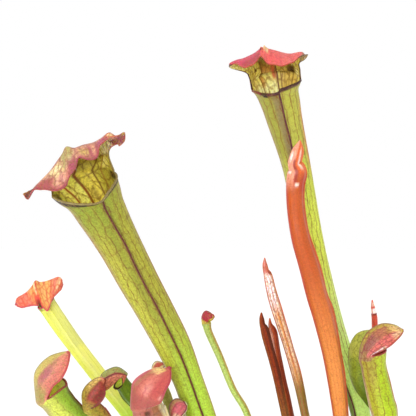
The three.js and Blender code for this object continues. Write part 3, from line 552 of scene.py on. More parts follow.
def leaf_mesh(name, skin, leaf):
    """The skin as a mesh, with a map in millimetres that follows the leaf and a mask for each wash."""
    points = np.concatenate(skin.points)
    fields = {f: np.concatenate(v) for f, v in skin.fields.items()}
    mesh = bpy.data.meshes.new(name)
    mesh.from_pydata((points * MM).tolist(), [], skin.faces)
    mesh.polygons.foreach_set("use_smooth", np.ones(len(skin.faces), bool))
    corners = np.empty(len(mesh.loops), np.int32)
    mesh.loops.foreach_get("vertex_index", corners)
    starts = np.empty(len(mesh.polygons), np.int32)
    mesh.polygons.foreach_get("loop_start", starts)
    strand, run = fields["strand"][corners], fields["run"][corners]
    girth = fields["strand"].max() - fields["strand"].min()
    face_of = np.repeat(np.arange(len(starts)), np.diff(np.append(starts, len(corners))))
    spread = np.maximum.reduceat(strand, starts) - np.minimum.reduceat(strand, starts)
    strand = np.where((spread[face_of] > girth / 2) & (strand < 0), strand + girth, strand)
    mesh.uv_layers.new(name="skin").data.foreach_set("uv", np.stack([strand, run], 1).ravel())
    for key, mask in leaf_masks(leaf, fields).items():
        mesh.attributes.new(key, "FLOAT", "POINT").data.foreach_set("value", mask.astype(np.float32))
    mesh.validate()
    mesh.update()
    return mesh


def leaf_masks(leaf, fields):
    """A mask for each wash of colour and each kind of vein, from its places and its windows."""
    made = {"ray": fields["ray"]}
    if "broad_hood" in leaf:
        under = fields["place"] == PLACES.index("under")
        made["patch"] = under * window(fields["v"], HAIRS_FROM, None, 0.3)  # where the hairs stand
    jobs = [(f"wash_{i}", *rest) for i, (_, *rest) in enumerate(leaf["washes"])]
    jobs += [(f"mark_{i}", where, strength, windows)
             for i, (_, _, where, _, _, strength, _, windows) in enumerate(leaf.get("marks", []))]
    for name, where, strength, windows in jobs:
        mask = strength * np.isin(fields["place"], [PLACES.index(w) for w in where.split()])
        if name.startswith("mark"):
            mask = mask * (1 - fields["wing"])
        for field, limits in windows.items():
            values = (fields["a"] + 360) % 360 - 180 if field == "b" else fields[field]
            mask = mask * window(values, *limits)
        made[name] = mask
    return made


# ---------------------------------------------------------------- materials

def linear(colour):
    """Linear red, green and blue of an sRGB hex colour."""
    parts = [int(colour[i:i + 2], 16) / 255 for i in (1, 3, 5)]
    return [c / 12.92 if c <= 0.04045 else ((c + 0.055) / 1.055) ** 2.4 for c in parts] + [1.0]


def add(tree, kind, inputs=(), **settings):
    """A node with its settings, and its inputs set to a value or linked to a socket or a node."""
    made = tree.nodes.new(kind)
    for key, value in settings.items():
        setattr(made, key, value)
    free = [socket for socket in made.inputs if socket.enabled]
    for key, value in dict(inputs).items():
        socket = free[key] if isinstance(key, int) else next(s for s in free if s.name == key)
        if isinstance(value, bpy.types.Node):
            value = next(s for s in value.outputs if s.enabled)
        if isinstance(value, bpy.types.NodeSocket):
            tree.links.new(value, socket)
        else:
            socket.default_value = value
    return made


def new_material(name):
    """A material with an empty tree."""
    material = bpy.data.materials.new(name)
    material.use_nodes = True
    material.node_tree.nodes.clear()
    return material, material.node_tree


GRAIN, CLOUD, FLECK, SPECK = 2.6, 9, 1.3, 0.8  # sizes of the patterns in a leaf's skin, in mm


def leaf_finish(name, leaf):
    """Living leaf: waxy skin over green or red flesh, which lets a little light through.

    Long even veins and a net of fine ones run in the skin, and stand a tenth of a millimetre proud.
    """
    material, tree = new_material(name)
    where = add(tree, "ShaderNodeTexCoord").outputs["Object"]
    grain = add(tree, "ShaderNodeTexNoise", {"Vector": where, "Scale": 1 / (GRAIN * MM), "Detail": 4.0})
    cloud = add(tree, "ShaderNodeTexNoise", {"Vector": where, "Scale": 1 / (CLOUD * MM), "Detail": 2.0})
    base = linear(leaf["colour"])
    shade = add(tree, "ShaderNodeMapRange", {"Value": cloud, "From Min": 0.3, "From Max": 0.75,
                                             "To Max": leaf.get("mottle", 0.5)})
    colour = add(tree, "ShaderNodeMix", {"Factor": shade, "A": base, "B": [c * 0.72 for c in base[:3]] + [1]},
                 data_type="RGBA")
    ragged = add(tree, "ShaderNodeMath", {0: grain, 1: 1.2, 2: -0.6}, operation="MULTIPLY_ADD")
    for i, wash in enumerate(leaf["washes"]):
        mask = add(tree, "ShaderNodeAttribute", attribute_name=f"wash_{i}").outputs["Fac"]
        # The wash stays off where its mask is nought, and has a ragged edge where it fades.
        rest = add(tree, "ShaderNodeMath", {0: 1.0, 1: mask}, operation="SUBTRACT")
        spread = add(tree, "ShaderNodeMath", {0: mask, 1: rest}, operation="MULTIPLY")
        factor = add(tree, "ShaderNodeMath", {0: spread, 1: ragged, 2: mask}, operation="MULTIPLY_ADD",
                     use_clamp=True)
        colour = add(tree, "ShaderNodeMix", {"Factor": factor, "A": colour, "B": linear(wash[0])},
                     data_type="RGBA")
    skin = add(tree, "ShaderNodeUVMap", uv_map="skin").outputs[0]
    ray = add(tree, "ShaderNodeAttribute", attribute_name="ray").outputs["Fac"]
    relief = grain
    broken = add(tree, "ShaderNodeMapRange", {"Value": grain, "From Min": 0.3, "From Max": 0.6,
                                              "To Min": 0.35})
    wander = add(tree, "ShaderNodeTexNoise", {"Vector": skin, "Scale": 0.13, "Detail": 2.0})
    for i, (kind, tint, _, size, width, _, stretch, _) in enumerate(leaf.get("marks", [])):
        if kind == "lines":
            strand = add(tree, "ShaderNodeMath", {0: ray, 1: size}, operation="DIVIDE")
            strand = add(tree, "ShaderNodeMath", {0: wander, 1: 0.9, 2: strand}, operation="MULTIPLY_ADD")
            away = add(tree, "ShaderNodeMath", {0: strand, 1: 0.5}, operation="PINGPONG")
        else:
            cells = add(tree, "ShaderNodeMapping", {"Vector": skin, "Scale": (1 / size, stretch / size, 1)})
            shaken = add(tree, "ShaderNodeTexNoise", {"Vector": cells, "Scale": 2.2}).outputs["Color"]
            moved = add(tree, "ShaderNodeVectorMath", {0: shaken, 1: (0.5, 0.5, 0), 2: cells},
                        operation="MULTIPLY_ADD")
            away = add(tree, "ShaderNodeTexVoronoi", {"Vector": moved, "Scale": 1.0},
                       voronoi_dimensions="2D", feature="DISTANCE_TO_EDGE")
        line = add(tree, "ShaderNodeMapRange", {"Value": away, "From Min": width * 0.1 / size,
                                                "From Max": width / size, "To Min": 1.0, "To Max": 0.0})
        line = add(tree, "ShaderNodeMath", {0: line, 1: broken}, operation="MULTIPLY")
        mask = add(tree, "ShaderNodeAttribute", attribute_name=f"mark_{i}").outputs["Fac"]
        line = add(tree, "ShaderNodeMath", {0: line, 1: mask}, operation="MULTIPLY")
        colour = add(tree, "ShaderNodeMix", {"Factor": line, "A": colour, "B": linear(tint)},
                     data_type="RGBA")
        relief = add(tree, "ShaderNodeMath", {0: line, 1: 1.6, 2: relief}, operation="MULTIPLY_ADD")
    # Speckle of the skin's cells, drawn at 1.3 mm and 0.8 mm, because the real grain is too fine to show.
    grit = leaf.get("grit", 1.0)
    fleck = add(tree, "ShaderNodeTexNoise", {"Vector": where, "Scale": 1 / (FLECK * MM), "Detail": 3.0})
    fleck = add(tree, "ShaderNodeMapRange", {"Value": fleck, "From Min": 0.5, "From Max": 0.72,
                                             "To Max": 0.5 * grit})
    dark = linear(leaf["fleck"]) if "fleck" in leaf else [c * 0.5 for c in base[:3]] + [1]
    colour = add(tree, "ShaderNodeMix", {"Factor": fleck, "A": colour, "B": dark}, data_type="RGBA")
    speck = add(tree, "ShaderNodeTexNoise", {"Vector": where, "Scale": 1 / (SPECK * MM), "Detail": 2.0})
    speck = add(tree, "ShaderNodeMapRange", {"Value": speck, "From Min": 0.3, "From Max": 0.7,
                                             "To Min": 1 - 0.2 * grit, "To Max": 1 + 0.2 * grit})
    colour = add(tree, "ShaderNodeMix", {"Factor": 1.0, "A": colour, "B": speck}, data_type="RGBA",
                 blend_type="MULTIPLY")
    bump = add(tree, "ShaderNodeBump", {"Height": relief, "Strength": 0.4, "Distance": 0.06 * MM})
    gloss = leaf.get("gloss", 0.42)
    rough = add(tree, "ShaderNodeMapRange", {"Value": grain, "From Min": 0.3, "From Max": 0.75,
                                             "To Min": gloss - 0.06, "To Max": gloss + 0.1})
    shader = add(tree, "ShaderNodeBsdfPrincipled", {
        "Base Color": colour, "Roughness": rough, "IOR": 1.35, "Normal": bump,
        "Subsurface Weight": 0.75, "Subsurface Radius": (1.0, 0.9, 0.35), "Subsurface Scale": 3.0 * MM,
        "Coat Weight": leaf.get("coat", 0.0), "Coat Roughness": 0.18})
    add(tree, "ShaderNodeOutputMaterial", {0: shader})
    return material


# ---------------------------------------------------------------- camera, light and floor

# Distance in front of the pot's axis, degrees down, middle of the view and its width.
CAMERA = dict(distance=800, down=8, across=-45.1, level=295.4, view=228.8)
SENSOR = 36  # width of the camera's sensor


def photographer():
    """The camera stands in front, a little above, and looks down by a few degrees."""
    down = math.radians(CAMERA["down"])
    data = bpy.data.cameras.new("camera")
    data.sensor_width = SENSOR
    data.lens = SENSOR * CAMERA["distance"] / CAMERA["view"]
    data.clip_end = 20
    camera = bpy.data.objects.new("camera", data)
    camera.location = Vector((CAMERA["across"], -CAMERA["distance"] * math.cos(down),
                              CAMERA["level"] + CAMERA["distance"] * math.sin(down))) * MM
    camera.rotation_euler = (math.radians(90 - CAMERA["down"]), 0, 0)
    bpy.context.collection.objects.link(camera)
    bpy.context.scene.camera = camera


# Name, strength, spread in degrees and the side that it comes from.
LIGHTS = [("window", 1.62, 35, (-0.28, -0.95, 0.22)), ("ceiling", 0.7, 60, (-0.2, -0.3, 1.0))]


def studio():
    """White surroundings, a broad low window in front, a soft ceiling light and a white floor."""
    scene = bpy.context.scene
    scene.view_settings.view_transform = "Standard"
    world = bpy.data.worlds.new("white studio")
    world.use_nodes = True
    tree = world.node_tree
    tree.nodes.clear()
    seen = add(tree, "ShaderNodeLightPath").outputs["Is Camera Ray"]
    dim = add(tree, "ShaderNodeMapRange", {"Value": seen, "To Min": 0.82, "To Max": 1.0})
    shine = add(tree, "ShaderNodeBackground", {"Color": (1, 1, 1, 1), "Strength": dim})
    add(tree, "ShaderNodeOutputWorld", {0: shine.outputs[0]})
    scene.world = world
    for name, energy, spread, side in LIGHTS:
        light = bpy.data.lights.new(name, "SUN")
        light.energy, light.angle = energy, math.radians(spread)
        lamp = bpy.data.objects.new(name, light)
        lamp.rotation_euler = Vector(side).to_track_quat("Z", "Y").to_euler()
        bpy.context.collection.objects.link(lamp)

    material, tree = new_material("white paper floor")
    where = add(tree, "ShaderNodeTexCoord").outputs["Object"]
    grain = add(tree, "ShaderNodeTexNoise", {"Vector": where, "Scale": 60.0})
    colour = add(tree, "ShaderNodeMix", {"Factor": grain, "A": linear("#fcfcfb"), "B": linear("#fefefd")},
                 data_type="RGBA")
    shader = add(tree, "ShaderNodeBsdfPrincipled", {"Base Color": colour, "Roughness": 0.9})
    add(tree, "ShaderNodeOutputMaterial", {0: shader.outputs[0]})
    mesh = bpy.data.meshes.new("floor")
    reach, low = 1.6, -0.0004  # metres to each side, and just below the pot's foot
    mesh.from_pydata([(-reach, -reach, low), (reach, -reach, low), (reach, reach, low),
                      (-reach, reach, low)], [], [(0, 1, 2, 3)])
    mesh.materials.append(material)
    floor = bpy.data.objects.new("floor", mesh)
    bpy.context.collection.objects.link(floor)


photographer()
studio()

# ---------------------------------------------------------------- the leaves' finish

SLOTS = {
    "pitcher_unopened_orange": "leaf_orange", "pitcher_unopened_veined": "leaf_orange",
    "pitcher_unopened_brown": "leaf_red", "pitcher_unopened_red": "leaf_red",
    "pitcher_unopened_tip": "leaf_red", "pitcher_hooded_pink": "leaf_pink",
    "pitcher_small_front": "leaf_pink", "pitcher_hooded_arching": "leaf_deep_green",
    "pitcher_hooded_green": "leaf_deep_green",
}


def wash(colour, where, strength=1.0, **windows):
    """A wash of colour on the named places of a leaf, inside its windows."""
    return colour, where, strength, windows


def mark(kind, colour, where, size, width, strength, stretch=1.0, **windows):
    """Veins on the named places: even `lines`, or a `net` of cells. Sizes are millimetres."""
    return kind, colour, where, size, width, strength, stretch, windows


def dot(colour, where, u, v, size):
    """A small spot of colour on a hood."""
    return wash(colour, where, 1.3, u=(u - size, u + size, size), v=(v - size, v + size, size))


# Every leaf is flushed red where it leaves the soil, and tan and dry at its very foot.
FOOT = [wash("#a4564a", "tube", 0.8, t=(None, 0.07, 0.08)),
        wash("#8a6a48", "tube", 0.9, t=(None, 0.03, 0.03))]

# What the skin of each leaf shows: faces beside the wing, behind it and up the hood, thickness of the
# rim, ribs, frill, twist, rise and fall of the mouth, ground colour, washes from first to last, veins.
# Some washes are painted light or shade rather than the leaf's own colour: each is marked where it stands.
LOOKS = {
    "pitcher_big_left": dict(
        colour="#b0ac3e", mesh=(14, 85, 44), bead=0.7, frill=(0.35, 9), ribs=11, fleck="#86782a",
        twist=[(0, 0), (0.5, 0), (0.85, 9), (1, 6)],
        mouth=[(-180, 0), (-105, 0), (-80, 2.4), (-70, 1.1), (-50, -0.2), (-30, -2.1), (-10, -4), (0, -4),
               (10, -2.7), (20, -1.4), (40, -0.2), (180, 0)],
        washes=[
            wash("#bce048", "tube", 0.95, t=(None, 0.6, 0.24)),
            wash("#b8b444", "tube", 0.8, a=(-110, -16, 50), t=(0.55, 0.9, 0.3)),
            # Painted light and shade: the left side, where the light falls, is painted lighter, and a darker
            # olive left of the keel is painted shade of the wing.
            wash("#c8cc48", "tube", 0.5, a=(-90, -34, 40), t=(0.4, 0.8, 0.2)),
            wash("#90982f", "tube", 0.6, a=(-28, -3, 20), t=(0.6, 0.95, 0.2)),
            wash("#90a034", "tube", 0.85, a=(-180, 40, 60), t=(0.9, None, 0.14)),
            wash("#b8b83e", "tube", 0.7, a=(14, 60, 30), t=(0.62, 0.92, 0.3)),
            wash("#bc9c50", "tube", 0.8, a=(62, 140, 24), t=(0.2, None, 0.1)),
            wash("#b46848", "tube", 0.9, a=(66, 140, 20), t=(0.35, 0.85, 0.2)),
            wash("#b08a62", "tube", 0.75, a=(-140, -76, 20), t=(0.1, None, 0.1)),
            wash("#5c2028", "tube", 1.1, wing=(0.42, None, 0.3)),
            wash("#ccc24e", "inside under", 1),
            # The throat's own yellow, brightened as painted light against the shade inside it.
            wash("#fff488", "inside under", 1.2, u=(-0.5, 0.01, 0.08), v=(None, 0.1, 0.12)),
            wash("#d8d868", "inside", 0.9, u=(None, -0.56, 0.1)),
            wash("#ecd860", "inside under", 0.9, u=(0.06, 0.4, 0.1), v=(None, 0.04, 0.06)),
            wash("#98902c", "inside under", 0.8, u=(0.5, 0.98, 0.2), v=(None, 0.06, 0.06)),
            wash("#e6d87c", "under", 1, u=(0.62, 0.84, 0.1), v=(0.06, 0.28, 0.1)),
            wash("#a89c3c", "under", 0.8, v=(0.16, 0.5, 0.2), u=(None, 0.6, 0.2)),
            # The underside's pale grey-olive, brightened as painted light against the hood's own shadow.
            wash("#f4e8c4", "under", 1.2, u=(0.56, None, 0.2), v=(0.3, 0.9, 0.1)),
            wash("#b45c66", "under", 1, v=(0.72, None, 0.1), u=(None, 0.5, 0.1)),
            wash("#d8a884", "hood", 1),
            wash("#b0706a", "hood", 0.8, v=(0.66, 0.79, 0.05)),
            wash("#b86c64", "hood", 0.6, u=(-0.08, 0.46, 0.1), v=(0.8, None, 0.05)),
            wash("#b0a264", "hood", 1.1, u=(-0.46, -0.14, 0.14), v=(0.72, 0.89, 0.08)),
            wash("#ccc490", "hood", 0.8, u=(-0.31, -0.2, 0.06), v=(0.87, 0.94, 0.04)),
            wash("#f2d8a0", "hood", 1.1, u=(-0.64, -0.42, 0.07), v=(0.79, 0.9, 0.04)),
            wash("#f0ae98", "hood", 1.1, u=(-0.5, -0.4, 0.06), v=(0.9, 0.965, 0.04)),
            wash("#bc4a66", "hood", 1, v=(0.975, None, 0.04), u=(-0.8, 0.42, 0.1)),
            wash("#a85064", "hood", 1, u=(-0.3, -0.12, 0.06), v=(0.9, None, 0.08)),
            wash("#a04452", "hood under", 0.9, u=(-0.86, -0.54, 0.08), v=(0.88, None, 0.06)),
            wash("#d87c78", "hood", 0.7, u=(-0.4, -0.28, 0.06), v=(0.93, None, 0.04)),
            wash("#ccac68", "hood", 1.2, u=(-0.02, 0.12, 0.06), v=(0.84, 0.93, 0.03)),
            wash("#a8505c", "hood", 1, u=(0.11, 0.15, 0.03), v=(0.82, None, 0.05)),
            wash("#e0a484", "hood", 1.1, u=(0.17, 0.26, 0.05), v=(0.82, 0.92, 0.03)),
            wash("#b04a64", "hood", 1.1, u=(0.22, 0.46, 0.07), v=(0.85, None, 0.06)),
            wash("#c8604c", "hood", 1, u=(0.42, 0.72, 0.05), v=(0.68, None, 0.05)),
            wash("#dcb888", "hood", 1, u=(0.46, 0.58, 0.04), v=(0.82, 0.92, 0.03)),
            wash("#b08068", "hood", 1.1, u=(0.46, 0.6, 0.06), v=(0.955, None, 0.03)),
            wash("#a86058", "hood", 1.1, u=(0.62, 0.8, 0.06), v=(0.93, None, 0.03)),
            wash("#84344c", "hood under", 1, u=(0.78, None, 0.08), v=(0.6, None, 0.1)),
            wash("#5c3034", "hood under", 1.1, u=(None, -0.84, 0.1), v=(0.6, None, 0.1)),
            wash("#7a2430", "hood under", 0.6, edge=(None, 0.7, 0.8)),
            wash("#80704a", "rim", 1), wash("#984450", "rim", 1, v=(0.5, None, 0.2)),
            wash("#986858", "rim", 1, u=(0.46, 0.6, 0.06), v=(0.5, None, 0.2)),
            wash("#241408", "tube", 1.3, a=(-100, 100, 8), edge=(None, 2.8, 1.2)),
            wash("#342010", "inside", 1.2, a=(-95, 95, 8), edge=(None, 1.6, 1)),
            wash("#3c2a14", "inside", 1, u=(0.84, 1.3, 0.1), edge=(None, 5, 2)),
            wash("#5c4018", "inside", 0.7, u=(0.12, 0.28, 0.2), edge=(9, 13, 5)),
            wash("#4a3c14", "inside", 0.8, u=(-1.3, -0.62, 0.1), edge=(1, 4, 2)),
            wash("#84401c", "inside under", 1.3, u=(0.0, 0.055, 0.04), v=(None, 0.22, 0.1)),
            wash("#6c441a", "inside under", 1.1, u=(0.39, 0.43, 0.04), v=(None, 0.3, 0.1)),
            wash("#8c5226", "inside under", 1, u=(0.59, 0.62, 0.04), v=(None, 0.3, 0.1)),
            wash("#a45826", "inside under", 1.2, u=(-0.34, -0.29, 0.05), v=(None, 0.2, 0.1)),
            wash("#2c1c14", "inside", 0.9, u=(0.2, 0.23, 0.05), edge=(7.5, 9, 2)),
        ],
        marks=[
            mark("lines", "#7c5024", "tube", 3.4, 0.38, 0.95, t=(0.5, None, 0.3)),
            mark("net", "#866428", "tube", 3.6, 0.34, 0.6, 0.3, t=(0.56, None, 0.3)),
            mark("lines", "#98504c", "hood", 2.6, 0.45, 0.6),
            mark("net", "#984e4c", "hood", 4.4, 0.8, 0.7, 0.8),
            mark("net", "#785620", "inside under", 3.4, 0.5, 0.8, 0.6),
        ]),
    "pitcher_tall": dict(
        colour="#c4c652", mesh=(12, 85, 40), bead=0.95, frill=(0.3, 8), ribs=9, fleck="#988434", grit=0.6,
        twist=[(0, -40), (0.5, -34), (0.78, -16), (0.9, -3), (1, 0)],
        peaks=[(-0.04, 0.05, 1.3), (0.1, 0.06, 2.2)],
        mouth=[(-180, 0), (-90, -1), (-60, 0.6), (-10, 0.6), (-3, 1), (4, 2.5), (30, 2.7), (50, 1.9),
               (70, 0.8), (90, -0.8), (180, 0)],
        washes=[
            wash("#d4ec70", "tube", 0.8, t=(None, 0.35, 0.3)),
            # Painted light: the right side, which the light leaves in shade, is painted brighter.
            wash("#def058", "tube", 0.9, a=(-10, 90, 30), t=(0.2, 0.82, 0.2)),
            wash("#b4b448", "tube", 0.8, a=(4, 90, 20), t=(0.86, None, 0.1)),
            wash("#94943c", "tube", 0.75, a=(-100, 0, 20), t=(0.84, None, 0.1)),
            wash("#d8905a", "tube", 0.9, a=(64, 140, 20), t=(0.82, 0.95, 0.06)),
            wash("#d8b060", "tube", 0.8, a=(106, 140, 14), t=(0.4, 0.84, 0.1)),
            # Painted light: the low strip that the unopened leaf in front shadows is painted almost
            # white-green.
            wash("#daff8c", "tube", 1.2, a=(2, 150, 4), t=(None, 0.55, 0.2)),
            wash("#4c6c20", "tube", 0.8, a=(-70, 2, 6), t=(None, 0.44, 0.06)),
            wash("#8c7a54", "tube", 0.9, a=(-22, -3, 10), t=(0.78, None, 0.1)),
            wash("#b08c62", "tube", 0.8, a=(-140, -72, 18), t=(0.3, None, 0.1)),
            wash("#5a2430", "tube", 1.1, wing=(0.42, None, 0.3)),
            wash("#e0d074", "inside under", 1),
            # The throat's own pale yellow, brightened as painted light where the hood shades it.
            wash("#fffcc0", "inside", 1.2, u=(-0.95, 0.07, 0.12), edge=(3, None, 6)),
            wash("#d4b45c", "inside under", 0.7, u=(0.2, 0.8, 0.2), v=(None, 0.3, 0.2)),
            wash("#a89438", "under", 0.9, u=(-0.5, 0.6, 0.2), v=(0.3, 0.6, 0.2)),
            wash("#b88440", "under", 0.9, u=(-0.42, 0.02, 0.1), v=(0.12, 0.4, 0.12)),
            wash("#d8a050", "inside", 0.8, u=(-0.42, -0.3, 0.08), edge=(None, 4, 2)),
            wash("#8a7a34", "under", 0.9, u=(-0.4, 0.1, 0.15), v=(0.4, 0.76, 0.2)),
            # The throat's yellow carried up under the hood, brightened as painted light against the shade
            # where the surface bends.
            wash("#e4d880", "under", 0.9, u=(-0.98, 0.04, 0.12), v=(None, 0.16, 0.3)),
            wash("#c8c078", "under", 1, u=(None, -0.7, 0.1), v=(0.5, None, 0.1)),
            wash("#a89880", "under", 1, u=(0.8, None, 0.08), v=(0.6, None, 0.1)),
            wash("#da605c", "hood", 1),
            wash("#c44860", "hood", 1, u=(None, -0.06, 0.08)),
            wash("#a43c48", "hood under", 0.9, u=(-0.6, -0.1, 0.1), v=(0.88, None, 0.06)),
            wash("#d46866", "hood", 0.6, u=(0.5, 0.9, 0.2)),
            wash("#e0585c", "hood", 0.6, u=(0.1, 0.5, 0.2), v=(0.86, None, 0.1)),
            wash("#f2c08c", "hood", 1, u=(0.07, 0.24, 0.05), v=(0.74, 0.85, 0.04)),
            wash("#8c7462", "hood", 1, u=(0.86, None, 0.06), v=(0.7, None, 0.1)),
            wash("#3c1a20", "rim", 1), wash("#8c4038", "rim", 0.6, a=(-100, -20, 40)),
            wash("#a8403c", "rim", 1, v=(0.5, None, 0.2), u=(-0.9, 0.8, 0.2)),
            wash("#5c4034", "rim", 1, v=(0.4, None, 0.2), u=(0.85, None, 0.1)),
            wash("#4a1c24", "tube", 1, edge=(None, 0.9, 0.8)),
            wash("#2a1214", "tube rim", 1.1, a=(-42, -26, 6), edge=(None, 2.2, 1)),
            wash("#5c2420", "inside under", 1.3, u=(0.09, 0.13, 0.04), v=(None, 0.4, 0.1)),
            wash("#f4ec98", "under", 1, u=(-0.56, -0.42, 0.06), v=(None, 0.16, 0.1)),
            wash("#ece08c", "under", 1, u=(-0.28, -0.08, 0.06), v=(None, 0.08, 0.1)),
            wash("#f0e4a0", "under", 1, u=(0.76, 0.9, 0.08), v=(None, 0.3, 0.1)),
            wash("#6c3c1c", "inside under", 1.2, u=(-0.42, -0.385, 0.04), v=(None, 0.5, 0.1),
                 edge=(None, 30, 2)),
            wash("#74501e", "inside under", 1, u=(0.2, 0.23, 0.03), v=(None, 0.3, 0.1)),
            wash("#74501e", "inside under", 1, u=(0.6, 0.63, 0.03), v=(None, 0.3, 0.1)),
            wash("#8c6428", "inside under", 0.9, u=(-0.78, -0.75, 0.03), v=(None, 0.3, 0.1)),
            wash("#bc5c3c", "under", 1.1, u=(-0.03, 0.08, 0.08), v=(None, 0.4, 0.1)),
            wash("#bc5c3c", "inside", 1.1, u=(-0.03, 0.08, 0.08), edge=(None, 2.4, 3)),
            wash("#9c5c30", "inside under", 0.9, u=(-0.36, -0.34, 0.03), v=(None, 0.5, 0.1)),
            wash("#84602c", "inside under", 0.9, u=(0.32, 0.34, 0.03), v=(None, 0.4, 0.1)),
            wash("#84602c", "inside under", 0.9, u=(0.47, 0.49, 0.03), v=(None, 0.4, 0.1)),
            wash("#a8683c", "inside under", 0.8, u=(-0.66, -0.64, 0.03), v=(None, 0.4, 0.1)),
            # Painted shadow: dark brown under the hood's overhanging pink lobe.
            wash("#2e2010", "under", 1.1, u=(0.46, 0.74, 0.16), v=(0.08, 0.38, 0.16)),
            dot("#1c1210", "under", -0.36, 0.14, 0.035), dot("#1c1210", "under", -0.62, 0.32, 0.03),
            dot("#1c1210", "hood", -0.05, 0.85, 0.02),
        ],
        marks=[
            mark("lines", "#84502c", "tube", 2.8, 0.36, 0.95, t=(0.35, None, 0.2)),
            mark("net", "#8a6a34", "tube", 3.2, 0.3, 0.45, 0.35, t=(0.6, None, 0.3)),
            mark("lines", "#b03c48", "hood", 2.2, 0.3, 0.4),
            mark("net", "#a8343c", "hood", 2.8, 0.36, 0.4, 0.7),
            mark("net", "#7c5424", "inside under", 2.0, 0.44, 0.8, 0.5),
        ]),
    "pitcher_lime": dict(
        colour="#f2f468", mesh=(8, 57, 30), bead=0.6, ribs=7, mottle=0.1, grit=0.2,
        washes=[
            wash("#fafa96", "tube", 0.9, t=(0.3, 0.9, 0.3), a=(-20, 180, 60)),
            wash("#b4d84c", "tube", 0.7, a=(-140, -66, 24)),
            # Painted light: the right side, in shade from the light, is painted brighter, and the lower
            # tube's own lime green is brightened against its shade.
            wash("#ffff84", "tube", 0.9, a=(20, 150, 30), t=(0.4, None, 0.3)),
            wash("#ccff48", "tube", 1.1, t=(None, 0.56, 0.24)),
            wash("#de8068", "hood under", 1),
            wash("#e8b064", "hood", 1, u=(-0.4, 0.46, 0.24), v=(0.3, None, 0.2)),
            wash("#dc4c44", "hood", 1, u=(-0.34, -0.06, 0.12), v=(0.84, None, 0.1)),
            wash("#6c5420", "tube rim inside", 0.7, a=(-100, -40, 16), edge=(None, 2, 1)),
            wash("#f4cc9c", "hood", 0.9, u=(0.62, 0.8, 0.08), v=(0.72, 0.9, 0.08)),
            wash("#8a4c2c", "hood", 0.9, u=(-0.12, -0.07, 0.03), v=(0.62, 0.8, 0.04)),
            wash("#f8e0b0", "hood", 1, u=(-0.2, -0.13, 0.04), v=(0.6, 0.84, 0.04)),
            wash("#b83c58", "hood under", 1, edge=(None, 1.1, 0.9)),
            wash("#8c3c68", "hood under", 1, u=(None, -0.86, 0.08), edge=(None, 1.6, 0.8)),
            wash("#b84860", "rim", 1),
            wash("#2c0c08", "hood under rim", 1.3, u=(-0.32, -0.13, 0.06), v=(0.93, None, 0.05)),
        ],
        marks=[
            mark("lines", "#d44c38", "hood", 1.3, 0.34, 0.7),
            mark("net", "#d04030", "hood", 2.2, 0.5, 0.7, 0.6, u=(-1, 1, 0.1)),
            mark("lines", "#ccd848", "tube", 2.6, 0.3, 0.5),
        ]),
    "pitcher_hooded_left": dict(
        colour="#bccc4a", mesh=(8, 57, 30), bead=0.7, fleck="#7c7a2c",
        mouth=[(-180, 0), (-120, 0), (-90, 2.6), (-60, 2.6), (-30, 1.2), (0, -1.8), (40, -1), (80, 0),
               (180, 0)],
        washes=[
            # Painted light and shade over the tube's own yellow to green: lighter on the left where the light
            # falls, darker green on the right.
            wash("#dce464", "tube", 0.85, a=(-140, -60, 50), t=(0.5, None, 0.3)),
            wash("#98c03c", "tube", 0.85, a=(-60, 30, 34), t=(0.3, None, 0.2)),
            wash("#c0b070", "tube", 0.9, a=(-180, -136, 20)),
            wash("#b4a468", "tube", 0.9, a=(-180, -110, 30), t=(0.93, None, 0.08)),
            wash("#6c2028", "tube", 1.1, wing=(0.3, None, 0.3)),
            wash("#5c3420", "tube", 0.7, a=(-12, -5, 6), t=(0.8, None, 0.1)),
            wash("#e2907c", "hood", 1),
            wash("#d07068", "hood", 0.6, u=(None, -0.7, 0.2)),
            wash("#b8846a", "hood", 0.9, u=(-0.56, None, 0.14), v=(None, 0.74, 0.1)),
            wash("#c4b464", "hood", 1, u=(-0.36, None, 0.12)),
            wash("#a89858", "hood", 1, u=(-0.8, None, 0.12), v=(None, 0.16, 0.12)),
            # Painted shade: purplish darkening on the hood's pink.
            wash("#b06a6c", "hood", 1, u=(-0.62, -0.36, 0.12), v=(0.22, 0.5, 0.14)),
            wash("#8c8440", "hood", 0.9, u=(-0.07, None, 0.07)),
            wash("#b83c48", "hood under rim", 1, edge=(None, 0.8, 0.6)),
            wash("#c8c868", "under", 1),
            # The throat's pale green is painted near white as painted light against its shade; the dark rim
            # is its own colour.
            wash("#fbffb4", "inside", 1.2), wash("#8c3034", "rim", 1, v=(None, 0.1, 0.1)),
        ],
        marks=[mark("net", "#c05850", "hood", 2.6, 0.35, 0.34, 0.7),
               mark("lines", "#98883c", "tube", 3.2, 0.3, 0.6)]),
    "pitcher_hooded_olive": dict(
        colour="#a8982e", mesh=(8, 49, 24), bead=0.6, fleck="#4c4412", grit=1.3,
        washes=[
            wash("#b4ac44", "tube", 0.8, a=(-180, -110, 30)),
            wash("#c0b040", "tube", 0.8, t=(0.5, 0.92, 0.1)),
            wash("#b48c40", "tube", 0.8, a=(-50, 20, 20)),
            wash("#8a2c34", "tube", 1, wing=(0.3, None, 0.3)),
            wash("#a8903a", "hood", 1), wash("#dcb868", "hood", 1, u=(-0.4, None, 0.2), v=(0.45, 0.9, 0.2)),
            wash("#7c6c2c", "hood", 0.8, u=(-0.12, None, 0.1)),
            wash("#963428", "hood", 1.1, u=(None, -0.4, 0.2), v=(0.2, 0.88, 0.2)),
            wash("#7c2420", "hood", 1, u=(None, -0.72, 0.12), v=(0.3, 0.66, 0.2)),
            wash("#dc8064", "hood", 0.9, v=(0.84, None, 0.1)),
            wash("#7c2028", "hood under rim", 1, edge=(None, 0.9, 0.8)), wash("#8a3428", "under", 1),
        ],
        marks=[mark("net", "#7a3a24", "hood tube", 2.2, 0.35, 0.6, 0.6)]),
    "pitcher_hooded_arching": dict(
